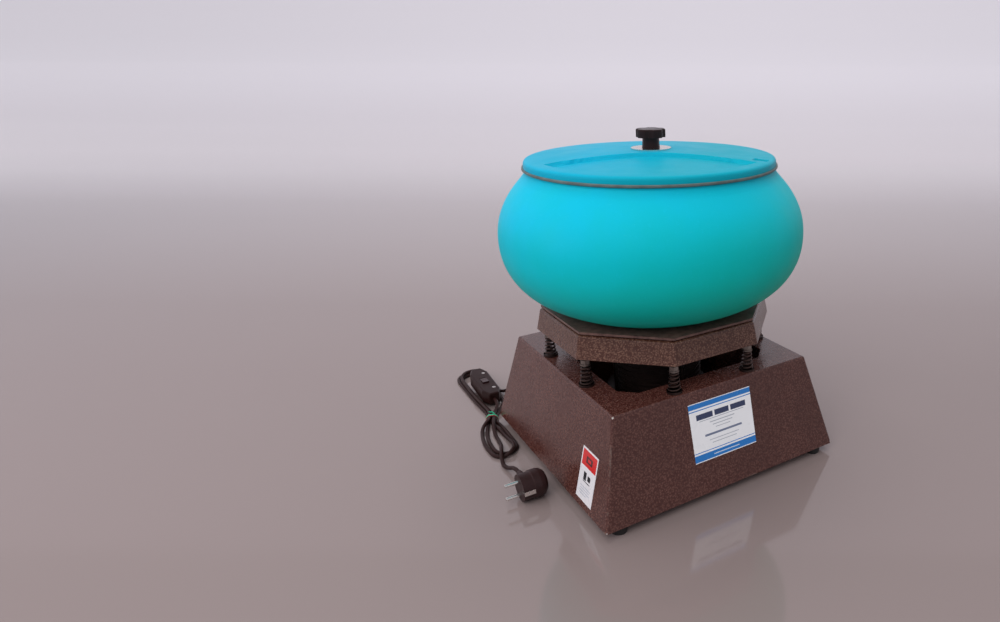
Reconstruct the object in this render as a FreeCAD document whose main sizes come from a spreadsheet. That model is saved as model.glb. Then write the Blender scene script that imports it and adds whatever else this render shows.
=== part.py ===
import FreeCAD, Part
import os
import math
import Sketcher

V = FreeCAD.Vector
Rot = FreeCAD.Rotation
Plc = FreeCAD.Placement

# Vibratory tumbler with a bowl on a sprung pan. Millimetres, +Z up, origin on the floor
# under the bowl's axis. -Y is the front face of the base, -X its left face.
doc = FreeCAD.newDocument("vibratory_tumbler")

# ---------------------------------------------------------------- driving dimensions
DIMS = [
    ("base_half_bottom", 180.0), ("base_half_top", 148.5), ("base_bottom_z", 12.0), ("base_top_z", 144.2),
    ("base_sheet", 2.0), ("base_open_half", 114.0), ("base_open_cut", 20.0), ("base_floor_half", 148.0),
    ("base_bend", 3.0),
    ("foot_x", 156.0), ("foot_y", 166.0), ("foot_rad", 11.0), ("foot_high", 12.0),
    ("spring_x", 56.5), ("spring_y", 136.5), ("spring_low_z", 145.8), ("spring_top_z", 172.6),
    ("spring_low_rad", 8.0), ("spring_top_rad", 5.6), ("spring_wire", 2.3), ("spring_turns", 5.0),
    ("stud_rad", 3.0),
    ("pan_low_rad", 163.1), ("pan_top_rad", 156.6), ("pan_low_z", 185.0), ("pan_top_z", 214.0),
    ("pan_sheet", 2.0), ("pan_hem_rad", 128.0), ("pan_bend", 3.5),
    ("gasket_rad", 151.0), ("gasket_thick", 1.6), ("plate_rad", 155.2), ("plate_thick", 2.8),
    ("rod_rad", 4.0), ("rod_low_z", 203.0), ("rod_high_z", 437.0),
    ("bowl_wall", 5.0), ("bowl_seat_rad", 112.0), ("bowl_rim_z", 399.4), ("bowl_max_rad", 200.3),
    ("column_low_rad", 46.0), ("column_top_rad", 19.0), ("column_top_z", 394.0), ("rod_hole_rad", 4.6),
    ("trim_rad", 163.8), ("trim_low_z", 399.6), ("trim_thick", 3.4), ("trim_inner_rad", 158.2),
    ("lid_rad", 163.0), ("lid_edge_z", 412.0), ("lid_crown_z", 421.0), ("lid_thick", 9.0),
    ("washer_rad", 26.0), ("washer_thick", 1.5), ("knob_hub_rad", 11.5), ("knob_hub_high", 13.0),
    ("knob_head_rad", 19.0), ("knob_head_high", 10.5), ("insert_rad", 6.0), ("insert_bore", 4.05),
    ("motor_rad", 62.0), ("motor_low_z", 88.0), ("motor_top_z", 152.0), ("stator_rad", 58.0),
    ("bore_rad", 36.0), ("rotor_rad", 35.4), ("shaft_rad", 7.5), ("shaft_step", 9.0),
    ("shaft_low_z", 34.0), ("shaft_top_z", 200.0), ("bell_rad", 73.0), ("tie_rad", 67.0),
    ("bearing_rad", 17.5), ("bearing_bore", 7.55), ("bearing_wide", 11.0),
    ("weight_rad", 46.0), ("weight_thick", 16.0), ("weight_up_z", 176.0), ("weight_low_z", 38.0),
    ("post_circle", 58.0), ("post_rad", 6.5),
    ("cord_rad", 2.7), ("gland_x", -138.0), ("gland_z", 30.0),
    ("switch_x", -171.0), ("switch_y", 273.0), ("switch_z", 18.0), ("switch_tilt", 5.0),
    ("plug_x", -231.0), ("plug_y", -42.0), ("plug_z", 19.5), ("plug_rad", 19.0),
]
sheet = doc.addObject("Spreadsheet::Sheet", "dims")
for i, (alias, value) in enumerate(DIMS):
    sheet.set("A%d" % (i + 1), alias)
    sheet.set("B%d" % (i + 1), str(value))
    sheet.setAlias("B%d" % (i + 1), alias)
doc.recompute()
VAL = dict(DIMS)


class Dim:
    """A number that also carries its spreadsheet expression."""

    def __init__(self, v, e):
        self.v = float(v)
        self.e = e

    def __add__(self, o):
        o = dim(o)
        return Dim(self.v + o.v, "(%s + %s)" % (self.e, o.e))

    def __radd__(self, o):
        return dim(o).__add__(self)

    def __sub__(self, o):
        o = dim(o)
        return Dim(self.v - o.v, "(%s - %s)" % (self.e, o.e))

    def __rsub__(self, o):
        return dim(o).__sub__(self)

    def __mul__(self, o):
        o = dim(o)
        return Dim(self.v * o.v, "(%s * %s)" % (self.e, o.e))

    def __rmul__(self, o):
        return dim(o).__mul__(self)

    def __truediv__(self, o):
        o = dim(o)
        return Dim(self.v / o.v, "(%s / %s)" % (self.e, o.e))

    def __neg__(self):
        return Dim(-self.v, "(0 - %s)" % self.e)


def dim(o):
    return o if isinstance(o, Dim) else Dim(o, repr(float(o)))


def D(alias):
    return Dim(VAL[alias], "dims." + alias)


NODES = []


def node(obj, name):
    obj.Label = name
    NODES.append((name, obj))
    return obj


def bind(obj, prop, value):
    value = dim(value)
    obj.setExpression(prop, value.e)


def place(obj, x=0, y=0, z=0, rot=None):
    x, y, z = dim(x), dim(y), dim(z)
    obj.Placement = Plc(V(x.v, y.v, z.v), rot or Rot())
    bind(obj, "Placement.Base.x", x)
    bind(obj, "Placement.Base.y", y)
    bind(obj, "Placement.Base.z", z)
    return obj


count = {}


def uid(stem):
    count[stem] = count.get(stem, 0) + 1
    return "%s_%d" % (stem, count[stem])


def cyl(r, h, x=0, y=0, z=0, rot=None, stem="Cyl"):
    o = doc.addObject("Part::Cylinder", uid(stem))
    bind(o, "Radius", r)
    bind(o, "Height", h)
    return place(o, x, y, z, rot)


def cone(r1, r2, h, x=0, y=0, z=0, rot=None, stem="Cone"):
    o = doc.addObject("Part::Cone", uid(stem))
    bind(o, "Radius1", r1)
    bind(o, "Radius2", r2)
    bind(o, "Height", h)
    return place(o, x, y, z, rot)


def box(lx, ly, lz, x=0, y=0, z=0, rot=None, stem="Box"):
    o = doc.addObject("Part::Box", uid(stem))
    bind(o, "Length", lx)
    bind(o, "Width", ly)
    bind(o, "Height", lz)
    return place(o, x, y, z, rot)


def prism(sides, r, h, x=0, y=0, z=0, rot=None, stem="Prism"):
    o = doc.addObject("Part::Prism", uid(stem))
    o.Polygon = sides
    bind(o, "Circumradius", r)
    bind(o, "Height", h)
    return place(o, x, y, z, rot)


def cut(a, b, stem="Cut"):
    o = doc.addObject("Part::Cut", uid(stem))
    o.Base = a
    o.Tool = b
    return o


def fuse(parts, stem="Fuse"):
    o = doc.addObject("Part::MultiFuse", uid(stem))
    o.Shapes = parts
    return o


def group(parts, stem="Group"):
    o = doc.addObject("Part::Compound", uid(stem))
    o.Links = parts
    return o


def plane_of(body, role):
    for f in body.Origin.OriginFeatures:
        if f.Role == role:
            return f


def poly_sketch(body, role, pts, name, offset=None):
    """Closed outline whose corners are bound to the sheet one by one."""
    sk = body.newObject("Sketcher::SketchObject", uid(name))
    sk.AttachmentSupport = [(plane_of(body, role), "")]
    sk.MapMode = "FlatFace"
    if offset is not None:
        offset = dim(offset)
        sk.AttachmentOffset = Plc(V(0, 0, offset.v), Rot())
        sk.setExpression("AttachmentOffset.Base.z", offset.e)
    pts = [(dim(a), dim(b)) for a, b in pts]
    n = len(pts)
    for i in range(n):
        a, b = pts[i], pts[(i + 1) % n]
        sk.addGeometry(Part.LineSegment(V(a[0].v, a[1].v, 0), V(b[0].v, b[1].v, 0)), False)
    for i in range(n):
        sk.addConstraint(Sketcher.Constraint("Coincident", i, 2, (i + 1) % n, 1))
    for i in range(n):
        for k, kind in ((0, "DistanceX"), (1, "DistanceY")):
            q = pts[i][k]
            if abs(q.v) < 1e-9:
                sk.addConstraint(Sketcher.Constraint("PointOnObject", i, 1, -2 if k == 0 else -1))
            else:
                c = sk.addConstraint(Sketcher.Constraint(kind, -1, 1, i, 1, q.v))
                sk.setExpression("Constraints[%d]" % c, q.e)
    return sk


def new_body(name, several=False):
    b = doc.addObject("PartDesign::Body", name)
    if several:
        b.AllowCompound = True
    return b


def revolve(name, pts):
    """Body of revolution about Z from (radius, height) corners."""
    b = new_body(uid(name))
    sk = poly_sketch(b, "XZ_Plane", pts, name + "_profile")
    f = b.newObject("PartDesign::Revolution", uid(name + "_turned"))
    f.Profile = sk
    f.ReferenceAxis = (sk, ["V_Axis"])
    f.Angle = 360.0
    b.Tip = f
    doc.recompute()
    return b


def rect(hx, hy):
    return [(-hx, -hy), (hx, -hy), (hx, hy), (-hx, hy)]


def ngon(r, n=8, phase=22.5):
    r = dim(r)
    return [(r * math.cos(math.radians(phase + 360.0 * k / n)), r * math.sin(math.radians(phase + 360.0 * k / n)))
            for k in range(n)]


def loft(body, lower, upper, subtract=False):
    f = body.newObject("PartDesign::SubtractiveLoft" if subtract else "PartDesign::AdditiveLoft", uid("Loft"))
    f.Profile = lower
    f.Sections = [upper]
    f.Ruled = True
    body.Tip = f
    doc.recompute()
    return f


def pocket(body, sk, depth, reverse=False, both=False):
    before = body.Shape.Volume
    f = body.newObject("PartDesign::Pocket", uid("Pocket"))
    f.Profile = sk
    f.Length = dim(depth).v
    f.setExpression("Length", dim(depth).e)
    f.Reversed = reverse
    if both:
        f.Midplane = True
    body.Tip = f
    doc.recompute()
    if not body.Shape.Volume < before - 1.0:
        raise RuntimeError("pocket in %s cuts nothing" % body.Name)
    return f


def pad(body, sk, height, reverse=False, both=False):
    f = body.newObject("PartDesign::Pad", uid("Pad"))
    f.Profile = sk
    f.Length = dim(height).v
    f.setExpression("Length", dim(height).e)
    f.Reversed = reverse
    if both:
        f.Midplane = True
    body.Tip = f
    doc.recompute()
    return f


def tapered(name, outline, z0, high, inset, round_rad):
    """Flat-sided frustum: a pad whose sides lean in by inset over its height, with rounded folds."""
    b = new_body(uid(name))
    sk = poly_sketch(b, "XY_Plane", outline, name + "_outline", z0)
    f = b.newObject("PartDesign::Pad", uid(name + "_pad"))
    f.Profile = sk
    high, inset = dim(high), dim(inset)
    f.Length = high.v
    f.setExpression("Length", high.e)
    lean_deg = math.degrees(math.atan2(inset.v, high.v))
    f.TaperAngle = -lean_deg
    f.setExpression("TaperAngle", "-atan(%s / %s)" % (inset.e, high.e))
    b.Tip = f
    doc.recompute()
    z_top = dim(z0).v + high.v
    wide = f.Shape.slice(V(0, 0, 1), z_top - 0.01)[0].BoundBox.XMax
    low_wide = f.Shape.slice(V(0, 0, 1), dim(z0).v + 0.01)[0].BoundBox.XMax
    if wide > low_wide:
        f.setExpression("TaperAngle", "atan(%s / %s)" % (inset.e, high.e))
        doc.recompute()
    flat = f.Shape.copy()
    soften(b, f, edges_where(f.Shape, lambda e: mid(e).z > dim(z0).v + 1.0), round_rad)
    if not 0.97 < b.Shape.Volume / flat.Volume < 1.0:
        raise RuntimeError("rounding of %s failed: %.1f of %.1f" % (name, b.Shape.Volume, flat.Volume))
    return b


def edges_where(shape, test):
    return ["Edge%d" % (i + 1) for i, e in enumerate(shape.Edges) if test(e)]


def soften(body, base, names, radius, kind="PartDesign::Fillet"):
    """Rounds the named edges; the radius stays bound to the sheet."""
    f = body.newObject(kind, uid("Round"))
    f.Base = (base, names)
    prop = "Radius" if kind.endswith("Fillet") else "Size"
    setattr(f, prop, dim(radius).v)
    f.setExpression(prop, dim(radius).e)
    body.Tip = f
    doc.recompute()
    return f


def mid(e):
    return e.valueAt(0.5 * (e.FirstParameter + e.LastParameter))


SIGNS = [(1, 1), (-1, 1), (-1, -1), (1, -1)]

# ================================================================ base
# Folded sheet housing: a hollow four-sided frustum with a top flange around an opening and a
# bottom flange for the feet.
lean = math.degrees(math.atan2(VAL["base_half_bottom"] - VAL["base_half_top"], VAL["base_top_z"] - VAL["base_bottom_z"]))
t = D("base_sheet")
outer_form = tapered("base_outer", rect(D("base_half_bottom"), D("base_half_bottom")), D("base_bottom_z"),
                     D("base_top_z") - D("base_bottom_z"), D("base_half_bottom") - D("base_half_top"), D("base_bend"))
inner_form = tapered("base_inner", rect(D("base_half_bottom") - t - 0.5, D("base_half_bottom") - t - 0.5), D("base_bottom_z") + t,
                     D("base_top_z") - D("base_bottom_z") - t * 2,
                     (D("base_half_bottom") - D("base_half_top")) * (VAL["base_top_z"] - VAL["base_bottom_z"] - 4.0) / 132.2,
                     1.0)
h, c = D("base_open_half"), D("base_open_cut")
opening = new_body("top_opening_body")
s5 = poly_sketch(opening, "XY_Plane", [(-h + c, -h), (h - c, -h), (h, -h + c), (h, h - c), (h - c, h), (-h + c, h),
                                       (-h, h - c), (-h, -h + c)], "top_opening", D("base_top_z") - 8)
pad(opening, s5, 16)
fh = D("base_floor_half")
floor_hole = box(fh * 2, fh * 2, 8, -fh, -fh, D("base_bottom_z") - 3)
gland_hole = cyl(6.2, 60, D("gland_x"), 150, D("gland_z"), Rot(V(1, 0, 0), -90))
holes = [cyl(2.6, 6, D("foot_x") * sx, D("foot_y") * sy, 10) for sx, sy in SIGNS]
spots = []
for sx, sy in SIGNS:
    spots.append((D("spring_x") * sx, D("spring_y") * sy))
    spots.append((D("spring_y") * sx, D("spring_x") * sy))
holes += [cyl(2.05, 6, x, y, D("base_top_z") - 4) for x, y in spots]
node(cut(outer_form, fuse([inner_form, opening, floor_hole, gland_hole] + holes)), "base_housing")

# Feet: tapered rubber buffers with a recess for the screw head.
feet, screws, foot_nuts = [], [], []
for sx, sy in SIGNS:
    x, y = D("foot_x") * sx, D("foot_y") * sy
    outer = cone(D("foot_rad") - 1.2, D("foot_rad"), D("foot_high"), x, y, 0)
    well = fuse([cyl(5.4, 6, x, y, -0.5), cyl(2.6, 20, x, y, 0)])
    feet.append(cut(outer, well))
    screws.append(fuse([cyl(2.5, 17.5, x, y, 4.5), cyl(4.6, 2.6, x, y, 2.7)]))
    foot_nuts.append(cut(prism(6, 4.6, 4, x, y, D("base_bottom_z") + t), cyl(2.5, 8, x, y, 12)))
node(group(feet), "rubber_feet")
node(group(screws), "foot_screws")
node(group(foot_nuts), "foot_nuts")

# Printed labels: thin plates on the sloped faces. The slope comes from the two half widths.


def face_label(name, width, high, centre_u, centre_z, side):
    half = VAL["base_half_bottom"] - (centre_z - VAL["base_bottom_z"]) * math.tan(math.radians(lean))
    o = doc.addObject("Part::Box", name + "_plate")
    bind(o, "Length", width)
    bind(o, "Width", 0.35)
    bind(o, "Height", high)
    local = Plc(V(-width / 2.0, -0.35 - 0.03, -high / 2.0), Rot())
    tilt = Plc(V(0, 0, 0), Rot(V(1, 0, 0), -lean))
    if side == "front":
        o.Placement = Plc(V(centre_u, -half, centre_z), Rot()).multiply(tilt).multiply(local)
    else:
        o.Placement = Plc(V(-half, centre_u, centre_z), Rot(V(0, 0, 1), -90)).multiply(tilt).multiply(local)
    return node(o, name)


face_label("front_label", 96.0, 77.0, 0.5, 91.0, "front")
face_label("side_label", 41.0, 66.5, -115.5, 53.0, "left")

# ================================================================ suspension
# One conical coil, ends pulled flat against its seats, copied to the eight places.
low, top = VAL["spring_low_z"], VAL["spring_top_z"]
wire = VAL["spring_wire"]
rise = top - low - wire
turns = VAL["spring_turns"]
ang = math.degrees(math.atan2(VAL["spring_top_rad"] - VAL["spring_low_rad"], rise))
per_turn = 14
path = []
for i in range(int(turns * per_turn) + 1):
    f = i / float(turns * per_turn)
    r = VAL["spring_low_rad"] + (VAL["spring_top_rad"] - VAL["spring_low_rad"]) * f
    # the first and last turns are wound close, as on a ground spring end
    g = min(1.0, max(0.0, (f - 0.12) / 0.76))
    zc = low + wire / 2 + 1.0 * min(1.0, f / 0.12) * 1.2 + (rise - 2.4) * g + 1.2 * max(0.0, (f - 0.88) / 0.12)
    th = 2 * math.pi * turns * f
    path.append(V(r * math.cos(th), r * math.sin(th), zc))
spine = Part.makePolygon(path)
start = path[0]
tang = path[1] - path[0]
tang.normalize()
side = V(math.cos(0), math.sin(0), 0)
up_dir = tang.cross(side)
six = []
for k in range(7):
    a6 = math.radians(60 * k + 30)
    six.append(start + side * (wire / 2 * 1.05 * math.cos(a6)) + up_dir * (wire / 2 * 1.05 * math.sin(a6)))
ring = Part.makePolygon(six)
coil = spine.makePipeShell([ring], True, False, 1)
print("coil volume ratio %.3f faces %d" % (coil.Volume / (math.pi * (wire / 2) ** 2 * spine.Length), len(coil.Faces)))
coils = []
for x, y in spots:
    q = coil.copy()
    q.rotate(V(0, 0, 0), V(0, 0, 1), math.degrees(math.atan2(y.v, x.v)))
    q.translate(V(x.v, y.v, 0))
    coils.append(q)
springs = doc.addObject("Part::Feature", "suspension_springs_coils")
springs.Shape = Part.makeCompound(coils)
node(springs, "suspension_springs")

seats, studs, low_nuts, top_nuts, seat_rivets = [], [], [], [], []
for x, y in spots:
    z = D("base_top_z")
    dish = cut(cyl(D("spring_low_rad") + 1.9, D("spring_low_z") - z + 1.4, x, y, z),
               cyl(D("spring_low_rad") + 1.3, 10, x, y, D("spring_low_z") - 0.1))
    seats.append(cut(dish, cyl(2.05, 6, x, y, z - 1)))
    seat_rivets.append(fuse([cyl(2.0, 5.0, x, y, z - 3.4), cyl(3.6, 1.4, x, y, D("spring_low_z") + 0.0)]))
    studs.append(fuse([cyl(D("stud_rad"), 26.5, x, y, 168.5), cyl(6.9, 1.5, x, y, D("spring_top_z") + 0.1)]))
    low_nuts.append(cut(prism(6, 6.2, 5.5, x, y, D("spring_top_z") + 1.6), cyl(D("stud_rad"), 12, x, y, 171)))
    top_nuts.append(cut(prism(6, 5.8, 5, x, y, D("pan_low_z") + D("pan_sheet")), cyl(D("stud_rad"), 12, x, y, 184)))
node(group(seats), "spring_seats")
node(group(seat_rivets), "seat_rivets")
node(group(studs), "spring_studs")
node(group(low_nuts), "spring_lower_nuts")
node(group(top_nuts), "spring_upper_nuts")
# ================================================================ pan
t = D("pan_sheet")
tall = D("pan_top_z") - D("pan_low_z")
apo = math.cos(math.radians(22.5))
pan_outer = tapered("pan_outer", ngon(D("pan_low_rad")), D("pan_low_z"), tall, (D("pan_low_rad") - D("pan_top_rad")) * apo, D("pan_bend"))
pan_inner = tapered("pan_inner", ngon(D("pan_low_rad") - t * 1.2), D("pan_low_z") + t, tall - t * 2,
                    (D("pan_low_rad") - D("pan_top_rad")) * apo * 0.85, 1.5)
pan_mouth = prism(8, D("pan_hem_rad"), 8, 0, 0, D("pan_low_z") - 3, Rot(V(0, 0, 1), 22.5))
posts_at = []
for a in (45, 135, 225, 315):
    posts_at.append((D("post_circle") * math.cos(math.radians(a)), D("post_circle") * math.sin(math.radians(a))))
drill = [cyl(4.3, 12, 0, 0, D("pan_top_z") - 6)]
drill += [cyl(3.2, 12, x, y, D("pan_top_z") - 6) for x, y in posts_at]
drill += [cyl(D("stud_rad") + 0.1, 6, x, y, D("pan_low_z") - 2) for x, y in spots]
node(cut(pan_outer, fuse([pan_inner, pan_mouth] + drill)), "pan_skirt")

# Dark gasket and the carrier plate that the bowl stands on.
z = D("pan_top_z")
gk = cut(prism(8, D("gasket_rad"), D("gasket_thick"), 0, 0, z, Rot(V(0, 0, 1), 22.5)),
         fuse([cyl(4.3, 8, 0, 0, z - 2)] + [cyl(3.2, 8, x, y, z - 2) for x, y in posts_at]))
node(gk, "plate_gasket")
z2 = z + D("gasket_thick")
sunk = [cone(3.2, 3.2 + 3.0, 3.0, x, y, z2 + D("plate_thick") - 3.0) for x, y in posts_at]
pl = cut(prism(8, D("plate_rad"), D("plate_thick"), 0, 0, z2, Rot(V(0, 0, 1), 22.5)),
         fuse([cyl(4.3, 8, 0, 0, z2 - 2)] + [cyl(3.2, 8, x, y, z2 - 2) for x, y in posts_at] + sunk))
node(pl, "carrier_plate")
plate_top = z2 + D("plate_thick")

# ================================================================ motor
# Ribbed stator shell, core, windings, end bells and bearings hang under the pan.
lo, hi = D("motor_low_z"), D("motor_top_z")
rib = []
n_rib = 7
step = (hi - lo - 12) / n_rib
for i in range(n_rib):
    a = lo + 6 + step * i
    rib += [(D("motor_rad") - 2.2, a + step * 0.15), (D("motor_rad"), a + step * 0.2), (D("motor_rad"), a + step * 0.55),
            (D("motor_rad") - 2.2, a + step * 0.6)]
node(revolve("motor_housing", [(D("stator_rad"), lo), (D("motor_rad"), lo)] + rib + [(D("motor_rad"), hi), (D("stator_rad"), hi)]),
     "motor_housing")
node(revolve("stator_core", [(D("bore_rad"), lo + 10), (D("stator_rad"), lo + 10), (D("stator_rad"), hi - 10), (D("bore_rad"), hi - 10)]),
     "stator_core")
wind = []
for z0, z1 in ((lo + 1.5, lo + 10), (hi - 10, hi - 1.5)):
    wind.append(revolve("winding", [(39, z0 + 2), (42, z0), (52, z0), (55, z0 + 2), (55, z1 - 0.01), (39, z1 - 0.01)]))
node(group(wind), "stator_windings")

tie_at = [(D("tie_rad"), 0), (0, D("tie_rad")), (-D("tie_rad"), 0), (0, -D("tie_rad"))]
hub = D("bearing_rad")
up = revolve("bell_up", [(D("bearing_bore") + 1.6, hi + 15), (hub, hi + 15), (hub, hi), (hub + 6, hi), (D("bell_rad"), hi),
                         (D("bell_rad"), hi + 6), (hub + 7, hi + 7.5), (hub + 6, hi + 18), (D("bearing_bore") + 1.6, hi + 18)])
dn = revolve("bell_down", [(D("bearing_bore") + 1.6, lo - 15), (D("bearing_bore") + 1.6, lo - 18), (hub + 6, lo - 18),
                           (hub + 7, lo - 7.5), (D("bell_rad"), lo - 6), (D("bell_rad"), lo), (hub, lo), (hub, lo - 15)])
node(cut(up, fuse([cyl(2.6, 12, x, y, hi - 2) for x, y in tie_at] + [cyl(5.3, 4, x, y, hi + 6) for x, y in tie_at] +
                  [cyl(3.05, 9, x, y, hi + 1) for x, y in posts_at])),
     "upper_end_bell")
node(cut(dn, fuse([cyl(2.6, 12, x, y, lo - 8) for x, y in tie_at] + [cyl(5.3, 4, x, y, lo - 10) for x, y in tie_at])), "lower_end_bell")
brg = []
for z0 in (hi + 15 - D("bearing_wide"), lo - 15):
    brg.append(cut(cyl(hub, D("bearing_wide"), 0, 0, z0), cyl(D("bearing_bore"), 30, 0, 0, z0 - 5)))
node(group(brg), "motor_bearings")
ties = []
for x, y in tie_at:
    ties.append(fuse([cyl(2.5, hi - lo + 16, x, y, lo - 8), prism(6, 4.6, 3.4, x, y, hi + 6),
                      prism(6, 4.6, 3.8, x, y, lo - 9.8)]))
node(group(ties), "motor_tie_bolts")
posts = []
for x, y in posts_at:
    posts.append(cut(fuse([cyl(D("post_rad"), D("pan_top_z") - D("pan_sheet") - (hi + 7), x, y, hi + 7),
                           cyl(3.0, 6, x, y, hi + 1.4)]),
                     cyl(3.05, 30, x, y, D("pan_top_z") - 18)))
node(group(posts), "motor_standoffs")
bolts = []
for x, y in posts_at:
    head = cone(3.0, 5.9, 2.9, x, y, plate_top - 2.9)
    slot = prism(6, 2.2, 4, x, y, plate_top - 1.6)
    bolts.append(cut(fuse([cyl(3.0, 18, x, y, plate_top - 2.9 - 17.9), head]), slot))
node(group(bolts), "motor_mount_bolts")

# Rotor with an eccentric weight at each shaft end and a fan under the lower bell.
node(revolve("shaft", [(0, D("shaft_low_z")), (D("shaft_rad") - 0.8, D("shaft_low_z")), (D("shaft_rad"), D("shaft_low_z") + 0.8),
                       (D("shaft_rad"), lo - 3.5), (D("shaft_step"), lo - 3.5), (D("shaft_step"), hi + 3.5),
                       (D("shaft_rad"), hi + 3.5), (D("shaft_rad"), D("shaft_top_z") - 0.8),
                       (D("shaft_rad") - 0.8, D("shaft_top_z")), (0, D("shaft_top_z"))]), "motor_shaft")
node(revolve("rotor", [(D("shaft_step"), lo + 10), (30, lo + 6), (D("rotor_rad"), lo + 10), (D("rotor_rad"), hi - 10), (30, hi - 6),
                       (D("shaft_step"), hi - 10)]), "rotor_core")


def eccentric(z0):
    disc = cyl(D("weight_rad"), D("weight_thick"), 0, 0, z0)
    half = box(200, 100, 60, -100, 4, z0 - 20)
    hubc = cyl(15, D("weight_thick"), 0, 0, z0)
    body = fuse([cut(disc, half), hubc])
    hole = fuse([cyl(D("shaft_rad"), 60, 0, 0, z0 - 20),
                 cyl(2.5, 14, 0, 6, z0 + D("weight_thick") / 2, Rot(V(1, 0, 0), -90))])
    return cut(body, hole)


def grub(z0):
    k = cut(cyl(2.5, 7.5, 0, D("shaft_rad") + 0.05, z0 + D("weight_thick") / 2, Rot(V(1, 0, 0), -90)),
            prism(6, 1.5, 5, 0, 12.5, z0 + D("weight_thick") / 2, Rot(V(1, 0, 0), -90)))
    return k


node(eccentric(D("weight_up_z")), "upper_eccentric_weight")
node(eccentric(D("weight_low_z")), "lower_eccentric_weight")
node(group([grub(D("weight_up_z")), grub(D("weight_low_z"))]), "weight_set_screws")
fan_z = D("weight_low_z") + D("weight_thick") + 3
blades = []
for k in range(9):
    bl = box(26, 1.6, 6, 13, -0.8, fan_z + 1.8)
    bl.Placement = Plc(V(0, 0, 0), Rot(V(0, 0, 1), 40 * k)).multiply(Plc(V(13, -0.8, fan_z.v + 1.8), Rot(V(0, 0, 1), 12)))
    bl.setExpression("Placement.Base.x", None)
    bl.setExpression("Placement.Base.y", None)
    bl.setExpression("Placement.Base.z", None)
    bl.Placement = Plc(V(0, 0, 0), Rot(V(0, 0, 1), 40 * k)).multiply(Plc(V(13, -0.8, fan_z.v + 1.8), Rot(V(0, 0, 1), 12)))
    blades.append(bl)
fan = cut(fuse([cyl(40, 2, 0, 0, fan_z), cyl(12.5, 8, 0, 0, fan_z)] + blades), cyl(D("shaft_rad"), 60, 0, 0, fan_z - 20))
node(fan, "cooling_fan")

def turned(name, pieces):
    """Solid of revolution whose profile mixes smooth curves and straight runs. Each piece is a list of
    (radius, height) points: more than two points make one smooth curve through all of them."""
    edges = []
    last = None
    first = None
    for pts in pieces:
        pts = [(dim(a).v, dim(c).v) for a, c in pts]
        vs = [V(a, 0, c) for a, c in pts]
        if last is not None and (vs[0] - last).Length > 1e-9:
            edges.append(Part.LineSegment(last, vs[0]).toShape())
        if len(vs) == 2:
            edges.append(Part.LineSegment(vs[0], vs[1]).toShape())
        elif len(vs) > 2:
            c = Part.BSplineCurve()
            c.interpolate(vs)
            edges.append(c.toShape())
        last = vs[-1]
        if first is None:
            first = vs[0]
    edges.append(Part.LineSegment(last, first).toShape())
    face = Part.Face(Part.Wire(edges))
    o = doc.addObject("Part::Feature", name)
    o.Shape = face.revolve(V(0, 0, 0), V(0, 0, 1), 360)
    if o.Shape.Volume < 0:
        raise RuntimeError(name + " is inside out")
    return o


# ================================================================ rod, bowl
node(cyl(D("rod_rad"), D("rod_high_z") - D("rod_low_z"), 0, 0, D("rod_low_z")), "centre_rod")
under = D("pan_top_z") - D("pan_sheet")
nuts = [cut(prism(6, 7.4, 6.5, 0, 0, under - 6.5), cyl(D("rod_rad"), 20, 0, 0, under - 12)),
        cut(prism(6, 7.4, 6.5, 0, 0, plate_top + 1.8), cyl(D("rod_rad"), 20, 0, 0, plate_top - 4)),
        cut(cyl(10, 1.7, 0, 0, plate_top + 0.05), cyl(D("rod_rad") + 0.2, 20, 0, 0, plate_top - 4))]
node(group(nuts), "rod_lock_nuts")

# Bowl: one moulded shell with a wide belly and a hollow centre column for the rod.
z0 = plate_top
w = D("bowl_wall")
R = D("bowl_max_rad")
outer = [(D("bowl_seat_rad"), z0), (117.6, z0 + 0.5), (124, z0 + 2.4), (134, z0 + 6.5), (147, z0 + 12.6), (159.5, z0 + 19.6), (171, z0 + 28.2),
         (181, z0 + 38.4), (189, z0 + 50.0), (195.2, z0 + 63.4), (199.0, z0 + 78.0), (R, z0 + 93.0), (199.7, z0 + 107.0),
         (197.2, z0 + 120.0), (193.0, z0 + 132.0), (187.2, z0 + 143.4), (180.4, z0 + 153.6), (173.4, z0 + 162.2), (167.6, z0 + 168.6)]
neck = [(167.6, z0 + 168.6), (164.4, z0 + 172.2), (162.0, z0 + 175.6), (161.0, z0 + 178.4)]
inner = [(158.4, z0 + 170.6), (166.0, z0 + 163.6), (175.6, z0 + 152.4), (182.4, z0 + 142.0), (188.0, z0 + 130.6), (192.2, z0 + 119.0),
         (194.7, z0 + 106.0), (195.3, z0 + 93.0), (194.0, z0 + 79.0), (190.4, z0 + 65.6), (184.6, z0 + 52.8), (177.0, z0 + 42.0),
         (167.4, z0 + 32.2), (156.6, z0 + 24.0), (144.6, z0 + 17.4), (131.4, z0 + 11.6), (119.5, z0 + 7.4), (110.0, z0 + w)]
floor_in = [(110.0, z0 + w), (90.0, z0 + w)]
column = [(90.0, z0 + w), (72.0, z0 + w + 1.0), (60.0, z0 + w + 5.0), (53.0, z0 + w + 14.0), (D("column_low_rad") + 1.5, z0 + 40.0),
          (37.0, z0 + 90.0), (29.5, z0 + 135.0), (D("column_top_rad") + 5.0, D("column_top_z") - 12.0),
          (D("column_top_rad") + 2.5, D("column_top_z") - 4.0)]
cap = [(D("column_top_rad") + 2.5, D("column_top_z") - 4.0), (D("column_top_rad") - 1.5, D("column_top_z"))]
hollow = [(D("column_top_rad") - 3.0, D("column_top_z") - w - 3.0), (24.0, z0 + 135.0), (31.6, z0 + 90.0), (D("column_low_rad") - 4.0, z0 + 40.0),
          (48.0, z0 + 18.0), (53.0, z0 + 7.0), (60.0, z0)]
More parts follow.
